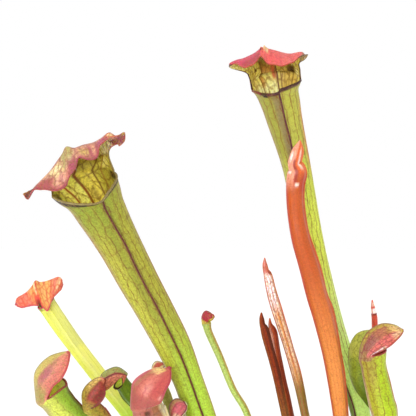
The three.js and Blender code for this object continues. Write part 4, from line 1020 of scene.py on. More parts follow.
        colour="#7c9a20", mesh=(8, 49, 24), bead=0.7, fleck="#2c4c0c",
        mouth=[(-180, 0), (-90, -0.5), (0, -2), (40, -3.2), (80, -3.2), (110, -2.2), (140, -0.8), (180, 0)],
        washes=[
            wash("#688414", "tube", 0.8, t=(0.5, None, 0.2)),
            wash("#88b83c", "tube", 0.8, a=(None, 30, 20), t=(0.3, 0.9, 0.1)),
            wash("#6c7c24", "tube", 1, wing=(0.3, None, 0.3)),
            wash("#d27c60", "hood", 1), wash("#a0a45c", "hood", 1, u=(None, 0.4, 0.1)),
            wash("#3c5418", "hood", 1, u=(None, 0.06, 0.06)),
            wash("#7c2434", "hood", 1.1, u=(0.4, 0.5, 0.08)),
            wash("#e48870", "hood", 0.9, u=(0.5, 0.84, 0.1), v=(0.5, None, 0.3)),
            wash("#ecff80", "inside", 1.2), wash("#a8b050", "under", 1),
            wash("#44200c", "rim", 1), wash("#a83c40", "rim", 1, v=(0.2, None, 0.2)),
        ],
        marks=[mark("net", "#94382c", "hood", 2.2, 0.35, 0.6, 0.6),
               mark("lines", "#3c6410", "tube", 2.4, 0.3, 0.6)]),
    "pitcher_hooded_pink": dict(
        colour="#c08c6c", mesh=(8, 57, 30), bead=0.5, mottle=0.3, grit=0.5, fleck="#7c3c30", frill=(0.3, 7),
        washes=[
            wash("#b8825c", "tube", 0.8, a=(-180, -100, 24)),
            wash("#ac7048", "tube", 0.9, a=(-104, -36, 20), t=(0.8, None, 0.2)),
            wash("#ecdcaa", "tube", 1, a=(-36, 0, 12)),
            wash("#c4786c", "tube", 0.8, a=(-180, -140, 24)),
            wash("#b8685c", "tube", 0.9, a=(-180, -70, 20), edge=(None, 5, 6)),
            wash("#c2665a", "hood", 1), wash("#ac7458", "hood", 1, u=(-0.3, None, 0.26), v=(None, 0.7, 0.2)),
            wash("#a85c52", "hood", 0.9, v=(None, 0.22, 0.2)),
            wash("#e08c78", "hood", 0.5, u=(-0.62, -0.34, 0.2), v=(0.26, 0.6, 0.2)),
            wash("#c46470", "hood", 1, u=(-0.14, None, 0.1), v=(0.1, 0.66, 0.1)),
            wash("#f4d08c", "hood", 1.1, u=(-0.42, None, 0.12), v=(0.62, 0.84, 0.08)),
            wash("#c25450", "hood", 0.8, u=(None, -0.6, 0.2), v=(0.3, None, 0.2)),
            # Painted highlights: pale spots on the hood's pink.
            wash("#e0988a", "hood", 0.5, u=(-0.66, -0.44, 0.1), v=(0.26, 0.46, 0.1)),
            wash("#f0c0b4", "hood", 0.6, u=(None, -0.9, 0.06), v=(0.3, 0.4, 0.06)),
            wash("#50301c", "tube", 1, a=(-100, -80, 12), edge=(1.5, 4, 1.5)),
            wash("#9c2c44", "hood under rim", 0.9, edge=(None, 0.8, 0.8), v=(0.2, None, 0.2)),
        ],
        marks=[mark("lines", "#b44c54", "hood", 2.2, 0.36, 0.5),
               mark("net", "#b84c50", "hood", 3.4, 0.5, 0.5, 0.7),
               mark("lines", "#8a6040", "tube", 3.0, 0.3, 0.6)]),
    "pitcher_small_back": dict(
        colour="#a8a050", mesh=(6, 33, 16), bead=0.4,
        washes=[wash("#ecd8a8", "hood", 1), wash("#c05044", "hood", 1, u=(-0.7, -0.25, 0.16)),
                wash("#6c6430", "hood", 1, u=(-0.12, None, 0.08)),
                wash("#8a3434", "hood rim", 1, edge=(None, 0.6, 0.5))],
        marks=[mark("net", "#a04838", "hood", 1.8, 0.25, 0.5)]),
    "pitcher_small_front": dict(
        colour="#b89c60", mesh=(6, 41, 18), bead=0.5,
        washes=[wash("#c8626c", "hood", 1), wash("#b89468", "hood", 1, u=(-0.34, None, 0.16)),
                wash("#5c2c24", "hood", 1.1, u=(-0.1, None, 0.08)),
                wash("#e8c8a0", "hood", 0.9, v=(None, 0.24, 0.1), u=(None, -0.5, 0.2)),
                wash("#ecdcb0", "inside rim under", 1), wash("#6c2430", "hood", 1, edge=(None, 0.8, 0.5))],
        marks=[mark("lines", "#98384a", "hood", 1.4, 0.3, 0.6),
               mark("net", "#a83c48", "hood", 2.2, 0.3, 0.5)]),
    "pitcher_slender": dict(
        colour="#b4c850", mesh=(6, 33, 16), bead=0.35, mottle=0.3,
        washes=[wash("#c8dc80", "tube", 0.9, t=(0.4, None, 0.4), a=(-180, -40, 60)),
                wash("#84b448", "tube", 0.8, t=(None, 0.4, 0.2)),
                wash("#b08c58", "tube", 0.8, a=(-24, 8, 10), t=(0.4, None, 0.2)),
                wash("#d4bc58", "hood rim", 1), wash("#a82c40", "hood rim", 1, v=(0.3, None, 0.16)),
                wash("#8c2434", "hood", 0.8, u=(-0.2, None, 0.1)),
                wash("#ecdc70", "inside under", 1)],
        marks=[mark("lines", "#6c9034", "tube", 1.8, 0.25, 0.6)]),
    "pitcher_hooded_right": dict(
        colour="#bccc34", mesh=(10, 57, 34), bead=0.6, ribs=9, fleck="#7c6420",
        mouth=[(-180, 0), (-110, 0), (-90, 2.8), (-45, 3.4), (0, 4), (45, 2), (90, 1.5), (110, 0), (180, 0)],
        washes=[
            wash("#b4b030", "tube", 0.8, a=(-170, -110, 30), t=(0.4, None, 0.2)),
            wash("#acc41c", "tube", 0.85, a=(-90, -14, 30), t=(0.2, 0.96, 0.1)),
            wash("#c4a07c", "tube", 0.9, a=(-180, -152, 14)),
            wash("#a83430", "tube", 1, wing=(0.3, None, 0.3)),
            wash("#a8943c", "tube", 0.7, a=(-140, -90, 20), t=(0.88, None, 0.1)),
            wash("#98703c", "tube hood", 0.8, u=(-0.3, None, 0.14), v=(None, 0.4, 0.2), t=(0.9, None, 0.1)),
            wash("#a88c58", "hood", 1, v=(None, 0.4, 0.3)),
            wash("#b0704c", "hood", 1, v=(0.3, 0.75, 0.3), u=(None, -0.16, 0.1)),
            wash("#94605c", "hood", 0.8, v=(0.2, 0.5, 0.2), u=(-0.6, -0.2, 0.1)),
            wash("#b4a444", "hood", 1, u=(-0.22, None, 0.12), v=(0.2, None, 0.2)),
            wash("#ecc880", "hood", 1, v=(0.72, 0.95, 0.1), u=(-0.8, -0.2, 0.2)),
            wash("#dc706c", "hood", 0.9, u=(None, -0.6, 0.14), v=(0.1, 0.8, 0.1)),
            # Painted highlight: a white glint along the hood's lower margin.
            wash("#f8e4dc", "hood under", 1.1, u=(None, -0.9, 0.05), v=(0.16, 0.46, 0.1)),
            wash("#f4bc94", "hood under", 1, u=(None, -0.66, 0.1), v=(0.68, 0.9, 0.1)),
            wash("#6c3a24", "hood", 0.9, u=(-0.05, None, 0.05)),
            wash("#a8303c", "hood", 1, edge=(None, 0.6, 0.6)),
            wash("#98343c", "rim", 1), wash("#c85058", "inside", 1.1),
        ],
        marks=[mark("lines", "#883440", "hood", 2.0, 0.34, 0.7),
               mark("net", "#88303c", "hood", 2.6, 0.4, 0.8, 0.7),
               mark("lines", "#8a5c24", "tube", 4.0, 0.36, 0.9),
               mark("net", "#8c6428", "tube", 3.0, 0.34, 0.7, 0.7, t=(0.84, None, 0.1), a=(-160, -60, 20))]),
    "pitcher_hooded_green": dict(
        colour="#98a82e", mesh=(8, 49, 24), bead=0.5, fleck="#4c5c14",
        washes=[
            wash("#c4bc54", "hood", 0.9, u=(-0.6, 0.1, 0.3), v=(0.16, None, 0.3)),
            wash("#4c7010", "tube", 0.95, t=(None, 0.88, 0.26)),
            wash("#3c5c0c", "tube", 0.8, a=(-130, -60, 40), t=(None, 0.82, 0.3)),
            wash("#84502c", "hood", 1, u=(-0.05, None, 0.06)),
            wash("#a4a844", "hood", 0.8, v=(0.2, None, 0.2)),
        ],
        marks=[mark("net", "#6c7424", "hood tube", 2.4, 0.3, 0.6, 0.5)]),
    "pitcher_unopened_orange": dict(
        colour="#c25a1c", coat=0.2, gloss=0.36, mottle=0.3, mesh=(10, 41, 0), grit=0.6,
        washes=[
            wash("#e49444", "tube", 0.9, t=(0.0, 0.6, 0.3)),
            wash("#9ab040", "tube", 1, t=(None, 0.06, 0.08)),
            wash("#b83c2c", "tube", 0.8, b=(-40, 40, 30), t=(0.1, 0.92, 0.1)),
            wash("#c83c34", "tube", 0.8, wing=(0.2, None, 0.3)),
            wash("#c05a2c", "tube", 0.7, a=(-40, 40, 30), t=(0.3, 0.9, 0.1)),
            # A pale band on the left, partly the leaf's own paler skin and partly painted highlight, with
            # white painted highlights in it.
            wash("#e89c80", "tube", 1, a=(-178, -92, 22), t=(0.9, None, 0.04)),
            wash("#fff0e4", "tube", 1.1, a=(-150, -124, 14), t=(0.955, 0.972, 0.012)),
            wash("#fce4d8", "tube", 1, a=(-156, -128, 12), t=(0.925, 0.938, 0.01)),
            wash("#e07038", "tube", 1, a=(-84, 30, 18), t=(0.925, None, 0.03)),
            wash("#b83c1c", "tube", 0.9, a=(-60, 30, 30), t=(0.885, 0.925, 0.015)),
            wash("#a4381c", "tube", 1, a=(-104, -84, 10), t=(0.905, 0.96, 0.01)),
            # Painted highlights: a white glint by the lip and a pale streak on the right band.
            wash("#fff4ea", "tube", 1, a=(-92, -70, 10), t=(0.899, 0.906, 0.006)),
            wash("#f8ccb4", "tube", 1, a=(-62, -40, 10), t=(0.935, 0.985, 0.012)),
        ],
        marks=[mark("lines", "#b84420", "tube", 1.7, 0.4, 0.3)]),
    "pitcher_unopened_veined": dict(
        colour="#dc9438", coat=0.3, gloss=0.34, mottle=0.3, mesh=(8, 29, 0),
        washes=[
            # The pale top: partly the young leaf's own pale colour, partly painted highlight.
            wash("#f4d8b4", "tube", 1, t=(0.6, None, 0.2), a=(-170, -100, 26)),
            wash("#f4d8b4", "tube", 0.9, t=(0.6, None, 0.2), a=(-76, -20, 20)),
            wash("#fff0ec", "tube", 1, t=(0.84, None, 0.06), a=(-170, -40, 26)),
            wash("#d4644c", "tube", 1, t=(0.5, None, 0.2), b=(-34, 34, 20)),
            wash("#d46050", "tube", 1, t=(0.5, None, 0.2), a=(-16, 30, 16)),
            wash("#8a3c10", "tube", 1, a=(-60, 30, 20), t=(0.945, 0.97, 0.01)),
            wash("#c8604c", "tube", 0.9, t=(0.95, None, 0.02)),
            wash("#84702c", "tube", 0.9, t=(0.36, 0.6, 0.1)),
            wash("#b09c44", "tube", 0.8, t=(None, 0.36, 0.1)),
        ],
        marks=[mark("lines", "#a04830", "tube", 1.5, 0.34, 0.95),
               mark("net", "#c06450", "tube", 1.6, 0.3, 0.6, 0.5, t=(0.6, None, 0.1))]),
    "pitcher_unopened_brown": dict(
        colour="#8c3000", coat=0.0, gloss=0.7, mesh=(8, 25, 0), grit=1.2,
        washes=[wash("#4c1c08", "tube", 0.8, a=(-60, 60, 40)), wash("#904c1c", "tube", 0.7, b=(-40, 60, 30)),
                wash("#8c5c24", "tube", 0.8, t=(None, 0.66, 0.2))],
        marks=[mark("lines", "#5a2410", "tube", 1.6, 0.34, 0.8)]),
    "pitcher_unopened_red": dict(
        colour="#b8501c", coat=0.05, gloss=0.5, mesh=(8, 25, 0),
        washes=[wash("#f0b4a4", "tube", 0.9, a=(-140, -100, 20), t=(0.8, 0.97, 0.1)),
                wash("#8c3018", "tube", 0.8, a=(-60, 60, 40))],
        marks=[mark("lines", "#7a2c14", "tube", 1.6, 0.3, 0.7)]),
    "pitcher_unopened_tip": dict(
        colour="#d44c32", coat=0.3, gloss=0.3, mesh=(8, 25, 0), grit=0.5,
        washes=[wash("#fff0ec", "tube", 1.2, t=(0.946, 0.966, 0.003)),
                # Painted highlight on the very tip.
                wash("#e8bcae", "tube", 0.9, t=(0.975, 0.992, 0.006)),
                wash("#5c1c14", "tube", 1, t=(0.938, 0.945, 0.003)),
                wash("#b84838", "tube", 0.6, a=(-140, -100, 16))],
        marks=[mark("lines", "#a83420", "tube", 1.4, 0.3, 0.5)]),
}


def new_piece(name, mesh, slot, *nodes):
    """A finished piece, in place of the nodes that it replaces. Its slot is not used."""
    piece = bpy.data.objects.new(name, mesh)
    bpy.context.collection.objects.link(piece)
    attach(piece, "root")
    if nodes:
        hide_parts(*nodes)
    return piece


for node, shape in LEAVES.items():
    opened = "cavity" in shape
    leaf = {**shape, **LOOKS[node]}
    skin = pitcher_skin(leaf) if opened else closed_skin(leaf)
    leaf["washes"] = leaf["washes"] + FOOT
    mesh = leaf_mesh(node + "_skin", skin, leaf)
    mesh.materials.append(leaf_finish("waxy leaf skin, " + node.replace("_", " "), leaf))
    new_piece(node + "_leaf", mesh, SLOTS.get(node, "leaf_green"), node)


# ---------------------------------------------------------------- pot, soil and rhizomes

POT = dict(height=120, base=50, top=67.5, wall=1.6, floor=2.4, rim_height=11, overhang=2.5)
FOOT_ROUND, FOOT_BEVEL = 1.2, 0.35  # how far the pot's lower edge is rounded, and its middle point
RIM_ROUND, RIM_BEVEL, RIM_INSIDE = 1.2, 0.4, 0.5  # the same at the rim's outer and inner edge
DRAIN_HOLES = {"Holes": 6, "Hole radius": 4.5 * MM, "Circle": 33 * MM, "Depth": 12 * MM,
               "Turn": math.radians(30)}
SOIL = dict(level=105, mound=1.5, reach=65.2, rings=90, sides=300, sink=1.2)  # lumps sink by 1.2 mm
# Layers of rough ground: where the noise is cut, waves for each mm, how fast they fade, how often.
LUMPS, CRUST, MOSS_BEDS = (3, 0.11, 1.0, 4), (8, 0.42, 0.8, 3), (5, 0.055, 1.0, 3)
LUMP_HEIGHT, CRUST_HEIGHT = 1.1, 0.45
RHIZOMES = {
    "rhizome_left": [[-27.5, -1.5, 102, 3.4], [-26.5, 1.5, 102.5, 5.2], [-24, 8, 103, 4.7],
                     [-21, 14.5, 103, 5.4], [-17.5, 20.5, 102, 4.6], [-16, 23, 101, 3]],
    "rhizome_right": [[37.5, -3, 102, 3.4], [36.5, 0, 102.5, 5.2], [33, 7, 103, 4.8],
                      [29, 14, 103, 5.6], [24.5, 20, 102, 4.6], [23, 22.5, 101, 3]],
}
CROWNS = [(-30, -6), (-22, 8), (40, -8), (30, 12), (14, -6)]  # where the leaves come up
CROWN_REACH = 14  # how far the moss is thicker round them
ALL_OVER = (-1, 0)  # heights of a patch that comes in below all of the piece
ANY_WAY = (3.1, 3.1, 3.1)  # a grain lies any way up


def lathe(name, profile, sides):
    """A mesh turned about the pot's axis from a profile of radius and height."""
    turn = np.linspace(0, 2 * math.pi, sides, endpoint=False)
    rings = np.array([[(r * c, r * s, z) for c, s in zip(np.cos(turn), np.sin(turn))] for r, z in profile])
    n = len(profile)
    index = np.arange(n * sides).reshape(n, sides)
    faces = []
    for j in range(n - 1):
        low, high = index[j], index[j + 1]
        faces += zip(low.tolist(), np.roll(low, -1).tolist(), np.roll(high, -1).tolist(), high.tolist())
    faces += [tuple(index[0][::-1].tolist()), tuple(index[-1].tolist())]
    mesh = bpy.data.meshes.new(name)
    mesh.from_pydata((rings.reshape(-1, 3) * MM).tolist(), [], faces)
    mesh.polygons.foreach_set("use_smooth", np.ones(len(faces), bool))
    return mesh


def plain_finish(name, low, high, size, roughness, depth, patches=(), stretch=(1, 1, 1), flesh=0.0):
    """Two shades mixed by a grain of `size` mm, under patches of other colours.

    A patch is its colour, size in mm, share of the surface, strength and the two heights in mm
    between which it comes in.
    """
    material, tree = new_material(name)
    where = add(tree, "ShaderNodeTexCoord").outputs["Object"]
    height = add(tree, "ShaderNodeSeparateXYZ", {0: where}).outputs["Z"]
    drawn = add(tree, "ShaderNodeMapping", {"Vector": where, "Scale": stretch})
    grain = add(tree, "ShaderNodeTexNoise", {"Vector": drawn, "Scale": 1 / (size * MM), "Detail": 6.0})
    shade = add(tree, "ShaderNodeMapRange", {"Value": grain, "From Min": 0.32, "From Max": 0.68})
    colour = add(tree, "ShaderNodeMix", {"Factor": shade, "A": linear(low), "B": linear(high)},
                 data_type="RGBA")
    for tint, wide, share, strength, from_z, to_z in patches:
        start = 0.66 - 0.4 * share
        cloud = add(tree, "ShaderNodeTexNoise", {"Vector": where, "Scale": 1 / (wide * MM), "Detail": 5.0})
        cloud = add(tree, "ShaderNodeMapRange", {"Value": cloud, "From Min": start,
                                                 "From Max": start + 0.12, "To Max": strength})
        level = add(tree, "ShaderNodeMapRange", {"Value": height, "From Min": from_z * MM,
                                                 "From Max": to_z * MM})
        cloud = add(tree, "ShaderNodeMath", {0: cloud, 1: level}, operation="MULTIPLY")
        colour = add(tree, "ShaderNodeMix", {"Factor": cloud, "A": colour, "B": linear(tint)},
                     data_type="RGBA")
    bump = add(tree, "ShaderNodeBump", {"Height": grain, "Distance": depth * MM, "Strength": 0.6})
    rough = add(tree, "ShaderNodeMapRange", {"Value": grain, "From Min": 0.3, "From Max": 0.7,
                                             "To Min": roughness - 0.07, "To Max": roughness + 0.07})
    shader = add(tree, "ShaderNodeBsdfPrincipled", {
        "Base Color": colour, "Roughness": rough, "Normal": bump, "Subsurface Weight": flesh,
        "Subsurface Scale": 1.5 * MM})
    add(tree, "ShaderNodeOutputMaterial", {0: shader})
    return material


def shape_tree(name, inputs):
    """An empty shape tree that takes a mesh and the named inputs, and its first node."""
    tree = bpy.data.node_groups.new(name, "GeometryNodeTree")
    kinds = {int: "Int", float: "Float", tuple: "Vector", bpy.types.Object: "Object",
             bpy.types.Material: "Material"}
    tree.interface.new_socket("Mesh", in_out="INPUT", socket_type="NodeSocketGeometry")
    for key, value in inputs.items():
        tree.interface.new_socket(key, in_out="INPUT", socket_type="NodeSocket" + kinds[type(value)])
    tree.interface.new_socket("Mesh", in_out="OUTPUT", socket_type="NodeSocketGeometry")
    return tree, add(tree, "NodeGroupInput").outputs


def end_tree(tree, given, shape):
    """The tree's last nodes: real copies with the material on them."""
    real = add(tree, "GeometryNodeRealizeInstances", {0: shape})
    done = add(tree, "GeometryNodeSetMaterial", {"Geometry": real, "Material": given["Material"]})
    add(tree, "NodeGroupOutput", {0: done})


def shaped(name, start, make, inputs):
    """The plain mesh that a shape tree makes from a start mesh."""
    tree = make(name, inputs)
    maker = bpy.data.objects.new(name, start)
    bpy.context.collection.objects.link(maker)
    modifier = maker.modifiers.new("shape", "NODES")
    modifier.node_group = tree
    for item in tree.interface.items_tree:
        if item.in_out == "INPUT" and item.name in inputs:
            modifier[item.identifier] = inputs[item.name]
    mesh = bpy.data.meshes.new_from_object(maker.evaluated_get(bpy.context.evaluated_depsgraph_get()))
    mesh.name = name
    maker.modifiers.clear()
    bpy.data.objects.remove(maker)
    return mesh


def drilled(name, inputs):
    """Round holes drilled through the middle of a mesh on a circle."""
    tree, given = shape_tree(name, inputs)
    circle = add(tree, "GeometryNodeMeshCircle", {"Vertices": given["Holes"], "Radius": given["Circle"]})
    turn = add(tree, "ShaderNodeCombineXYZ", {"Z": given["Turn"]})
    circle = add(tree, "GeometryNodeTransform", {"Geometry": circle, "Rotation": turn})
    drill = add(tree, "GeometryNodeMeshCylinder", {"Vertices": 24, "Radius": given["Hole radius"],
                                                   "Depth": given["Depth"]})
    drills = add(tree, "GeometryNodeInstanceOnPoints", {"Points": circle, "Instance": drill})
    drills = add(tree, "GeometryNodeRealizeInstances", {0: drills})
    cut = add(tree, "GeometryNodeMeshBoolean", {"Mesh 1": given["Mesh"], "Mesh 2": drills},
              operation="DIFFERENCE", solver="EXACT")
    end_tree(tree, given, cut)
    return tree


def scattered(name, inputs):
    """Copies of a small piece over a surface where its `patch` says, standing on it and turned.

    A copy's up stands on the surface, and its y looks along `Along` before it spins and leans.
    """
    tree, given = shape_tree(name, inputs)
    patch = add(tree, "GeometryNodeInputNamedAttribute", {"Name": "patch"}, data_type="FLOAT")
    spots = add(tree, "GeometryNodeDistributePointsOnFaces", {
        "Mesh": given["Mesh"], "Distance Min": given["Spacing"], "Density Max": given["Density"],
        "Density Factor": patch, "Seed": given["Seed"]}, distribute_method="POISSON")
    way = add(tree, "FunctionNodeAlignRotationToVector", {
        "Rotation": spots.outputs["Rotation"], "Vector": given["Along"]}, axis="Y", pivot_axis="Z")
    low = add(tree, "ShaderNodeVectorMath", {0: given["Lean"], "Scale": -1.0}, operation="SCALE")
    turn = add(tree, "FunctionNodeRandomValue", {"Min": low, "Max": given["Lean"], "Seed": given["Seed"]},
               data_type="FLOAT_VECTOR")
    turn = add(tree, "FunctionNodeEulerToRotation", {0: turn})
    way = add(tree, "FunctionNodeRotateRotation", {"Rotation": way, "Rotate By": turn},
              rotation_space="LOCAL")
    size = add(tree, "FunctionNodeRandomValue", {"Min": given["Smallest"], "Max": given["Largest"],
                                                 "Seed": given["Seed"]}, data_type="FLOAT")
    piece = add(tree, "GeometryNodeObjectInfo", {"Object": given["Piece"]})
    copies = add(tree, "GeometryNodeInstanceOnPoints", {
        "Points": spots, "Instance": piece.outputs["Geometry"], "Rotation": way, "Scale": size})
    end_tree(tree, given, copies)
    return tree


def small_piece(name, points, faces, smoothed=False):
    """A small mesh, one unit high, that a shape tree copies."""
    mesh = bpy.data.meshes.new(name)
    mesh.from_pydata(points, [], faces)
    mesh.polygons.foreach_set("use_smooth", np.full(len(faces), smoothed))
    return bpy.data.objects.new(name, mesh)


def crumb(name, detail, seed):
    """A lumpy grain, a little flatter than round."""
    ball = bmesh.new()
    bmesh.ops.create_icosphere(ball, subdivisions=detail, radius=1)
    lumps, waves, flat = 0.45, 1.4, 0.75
    for point in ball.verts:
        point.co *= 1 + lumps * noise.noise(point.co * waves + Vector((seed, 0, 0)))
        point.co.z *= flat
    made = small_piece(name, [list(point.co) for point in ball.verts],
                       [[point.index for point in face.verts] for face in ball.faces])
    ball.free()
    return made


def spikes(name, rows):
    """Slim three-sided spikes, each from a start to an end with a width at its foot."""
    points, faces = [], []
    for start, end, wide in rows:
        start, end = Vector(start), Vector(end)
        across = (end - start).orthogonal().normalized() * wide / 2
        other = (end - start).normalized().cross(across)
        k = len(points)
        for i in range(3):
            angle = 2 * math.pi * i / 3
            points.append(list(start + across * math.cos(angle) + other * math.sin(angle)))
        points.append(list(end))
        faces += [(k, k + 2, k + 1), (k, k + 1, k + 3), (k + 1, k + 2, k + 3), (k + 2, k, k + 3)]
    return small_piece(name, points, faces)


def papery_scale(name):
    """A cupped scale, one unit long, wrapped round what it sits on."""
    points, faces = [], []
    # Distance from its foot and half width there, both as shares of its length.
    stops = [(0.0, 0.5), (0.2, 0.62), (0.45, 0.56), (0.7, 0.38), (0.9, 0.16), (1.0, 0.03)]
    for y, wide in stops:
        lift = 0.04 + 0.3 * y * y
        points += [(-wide, y, lift - 0.2 * wide), (0, y, lift + 0.1), (wide, y, lift - 0.2 * wide),
                   (0, y, lift + 0.04)]
    for j in range(len(stops) - 1):
        for i in range(4):
            k, m = 4 * j + i, 4 * j + (i + 1) % 4
            faces.append((k, k + 4, m + 4, m))
    faces += [(0, 1, 2, 3), tuple(4 * len(stops) - k for k in (1, 2, 3, 4))]
    return small_piece(name, points, faces, True)


def set_patch(mesh, values):
    """How thickly each point of the mesh is strewn, from 0 to 1."""
    mesh.attributes.new("patch", "FLOAT", "POINT").data.foreach_set("value", np.asarray(values, np.float32))


def strewn(name, surface, piece, material, spacing, density, sizes, lean, seed, along=(0.0, 1.0, 0.0),
           patch=None):
    """Copies of a small piece over a surface: sizes in mm, density for each square mm."""
    top = surface.copy()
    top.materials.clear()
    if patch is not None:
        set_patch(top, patch)
    smallest, largest = sizes
    return shaped(name, top, scattered, {
        "Spacing": spacing * MM, "Density": density / MM ** 2, "Smallest": smallest * MM,
        "Largest": largest * MM, "Lean": lean, "Along": along, "Seed": seed, "Piece": piece,
        "Material": material})


def pot_outline():
    """Radius and height round the pot's wall: foot, outside, rolled rim, inside, floor."""
    base, height = POT["base"], POT["height"]
    slope = (POT["top"] - base) / height
    under_rim = height - POT["rim_height"]
    lip, inside = POT["top"] + POT["overhang"], POT["top"] - POT["wall"]
    return [
        (base - FOOT_ROUND, 0), (base - FOOT_BEVEL, FOOT_BEVEL), (base, FOOT_ROUND),
        (base + slope * (under_rim - 1), under_rim - 1), (base + slope * under_rim + 0.4, under_rim),
        (lip - RIM_BEVEL, under_rim + 0.2), (lip, under_rim + 1), (lip, height - 1.4),
        (lip - 0.35, height - RIM_BEVEL), (lip - RIM_ROUND, height), (inside + RIM_INSIDE, height),
        (inside, height - RIM_INSIDE), (base - POT["wall"] + slope * POT["floor"], POT["floor"])]


# Moulded polypropylene, matt: charcoal with a fine eggshell grain, drawn at 1.2 mm, because the real
# one is too fine to show. Dry peat dust and splashes lie high on the wall, and hard water leaves a
# pale bloom near the foot.
pot_plastic = plain_finish("moulded polypropylene", "#242424", "#313130", 1.2, 0.55, 0.05, patches=[
    ("#4a443b", 26, 0.5, 0.5, 60, 118), ("#6b6558", 7, 0.2, 0.5, 70, 119),
    ("#6f6f6a", 18, 0.4, 0.35, 45, 0), ("#4c3d30", 3, 0.1, 0.6, 90, 112)])
mesh = shaped("pot_shell", lathe("pot_turned", pot_outline(), 160), drilled,
              {**DRAIN_HOLES, "Material": pot_plastic})
mesh.set_sharp_from_angle(angle=math.radians(40))
new_piece("pot_shell", mesh, "pot", "pot")


def rough(x, y, cut, waves, fade, steps):
    """One layer of rough ground, from about -1 to 1."""
    return noise.fractal(Vector((x, y, cut)) * waves, fade, 2.0, steps)


def ground(x, y):
    """Height of the soil: a low mound with lumps, hollows and crumbs."""
    r = math.hypot(x, y) / SOIL["reach"]
    lump, crust = rough(x, y, *LUMPS) * LUMP_HEIGHT, rough(x, y, *CRUST) * CRUST_HEIGHT
    return SOIL["level"] + SOIL["mound"] * (1 - r * r) + lump + crust - SOIL["sink"]


# Peat with bark and sand: dark and damp, with drier, paler lumps and almost no shine.
rings = np.linspace(SOIL["reach"], 0.5, SOIL["rings"])
mesh = lathe("soil_ground", [(r, 0) for r in rings], SOIL["sides"])
for point in mesh.vertices:
    point.co.z = ground(point.co.x / MM, point.co.y / MM) * MM
mesh.materials.append(plain_finish("damp peat", "#1e140d", "#4a3524", 1.6, 0.88, 0.6, patches=[
    ("#7a6148", 2.2, 0.12, 0.7, *ALL_OVER), ("#3c4a1c", 16, 0.3, 0.5, *ALL_OVER)]))
new_piece("soil_ground", mesh, "soil", "soil")

# How thickly loose grains and moss lie on each point of the soil: bare ground up to the pot's wall,
# and moss in beds, most of it round the crowns.
spots = [(p.co.x / MM, p.co.y / MM) for p in mesh.vertices]
bare = [1 - smooth(math.hypot(x, y), 61, 64) for x, y in spots]
to_crown = [min(math.hypot(x - cx, y - cy) for cx, cy in CROWNS) for x, y in spots]
mossy = [b * float(smooth(rough(x, y, *MOSS_BEDS) + 0.35 * max(0, 1 - far / CROWN_REACH), 0.02, 0.3))
         for (x, y), b, far in zip(spots, bare, to_crown)]

# Loose crumbs of peat and bark, 1 mm to 3 mm across.
peat_crumbs = plain_finish("loose peat and bark", "#2a1c12", "#6e5038", 3, 0.9, 0.3,
                           patches=[("#9a7a58", 5, 0.15, 0.7, *ALL_OVER)])
# Expanded perlite: white popped grains, dull and full of tiny holes.
perlite = plain_finish("expanded perlite", "#d8d4c8", "#f2efe6", 0.8, 0.92, 0.2,
                       patches=[("#a89c80", 2, 0.12, 0.6, *ALL_OVER)])
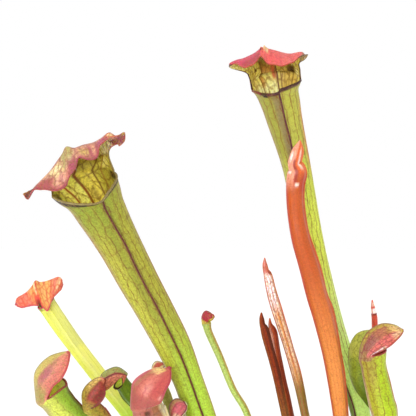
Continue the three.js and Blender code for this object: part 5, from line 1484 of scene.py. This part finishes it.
# Living moss: fresh yellow-green tips over darker green, a little light shows through the leaves.
moss = plain_finish("living moss", "#55701e", "#a6b84a", 4, 0.7, 0.1,
                    patches=[("#c8c86a", 9, 0.3, 0.6, *ALL_OVER), ("#6c5a2c", 12, 0.15, 0.5, *ALL_OVER)],
                    flesh=0.3)
moss_leaves = [((0, 0, 0.12 + 0.24 * ring), (0.42 * math.cos(a), 0.42 * math.sin(a), 0.42 + 0.3 * ring), 0.2)
               for ring in range(3) for a in np.linspace(0, 2 * math.pi, 4, endpoint=False) + 0.5 * ring]
tuft = [((0, 0, -0.1), (0, 0, 1), 0.12), *moss_leaves]  # a stalk with three rings of four leaves
for name, piece, material, facts in [
        ("soil_crumbs", crumb("crumb", 1, 2), peat_crumbs,
         dict(patch=bare, spacing=1.6, density=0.24, sizes=(0.5, 1.5), lean=ANY_WAY, seed=3)),
        ("soil_perlite", crumb("grain", 2, 6), perlite,
         dict(patch=bare, spacing=4, density=0.012, sizes=(0.7, 1.7), lean=ANY_WAY, seed=8)),
        ("soil_moss", spikes("tuft", tuft), moss,
         dict(patch=mossy, spacing=1.5, density=0.3, sizes=(2.4, 4.6), lean=(0.5, 0.5, 3.1), seed=5))]:
    new_piece(name, strewn(name, mesh, piece, material, **facts), "soil")

# A creeping stem: woody brown-red skin with rings, under thin tan papery scales.
stem_skin = plain_finish("woody stem skin", "#4c2a20", "#84503c", 1.4, 0.62, 0.3, stretch=(1, 0.4, 1),
                         patches=[("#a4683c", 4, 0.25, 0.6, *ALL_OVER), ("#2c1c14", 3, 0.15, 0.6, 106, 101)])
paper = plain_finish("papery bract", "#8a6444", "#c09a6c", 1.2, 0.7, 0.1, stretch=(3, 0.6, 3),
                     patches=[("#6c3c2c", 3, 0.3, 0.7, *ALL_OVER)])
for node, stations in RHIZOMES.items():
    leaf = dict(stations=stations, facing=90, depth=0.8, keel=0, rib_height=0.25, washes=[], mesh=(6, 17, 0))
    skin = closed_skin(leaf)
    mesh = leaf_mesh(node + "_bark", skin, leaf)
    mesh.materials.append(stem_skin)
    new_piece(node + "_bark", mesh, "rhizome", node)
    upper = [float(smooth(point.co.z / MM, 102.5, 104)) for point in mesh.vertices]  # out of the soil
    way = Vector(stations[-1][:2]) - Vector(stations[0][:2])
    scales = strewn(node + "_scales", mesh, papery_scale(node + " scale"), paper, spacing=2.1, density=0.5,
                    sizes=(3.2, 4.8), lean=(0.12, 0.12, 0.25), seed=4, along=(way.x, way.y, 0.0),
                    patch=upper)
    new_piece(node + "_scales", scales, "rhizome")

# Short stiff hairs under the two broad hoods, which point down into the leaf. The real ones are
# 0.05 mm thick: they are drawn at 0.16 mm so that they show.
hair_skin = plain_finish("leaf hair", "#e8dcb4", "#f6efd4", 2, 0.5, 0.05, flesh=0.3)
for node in ("pitcher_big_left", "pitcher_tall"):
    hair = spikes(node + " hair", [((0, 0, 0), (0, 0.8, 0.7), 0.12)])
    hairs = strewn(node + "_hairs", bpy.data.objects[node + "_leaf"].data, hair, hair_skin, spacing=1.2,
                   density=0.5, sizes=(0.9, 1.7), lean=(0.25, 0.25, 0.5), seed=6, along=(0.0, 0.0, -1.0))
    new_piece(node + "_hairs", hairs, SLOTS.get(node, "leaf_green"))
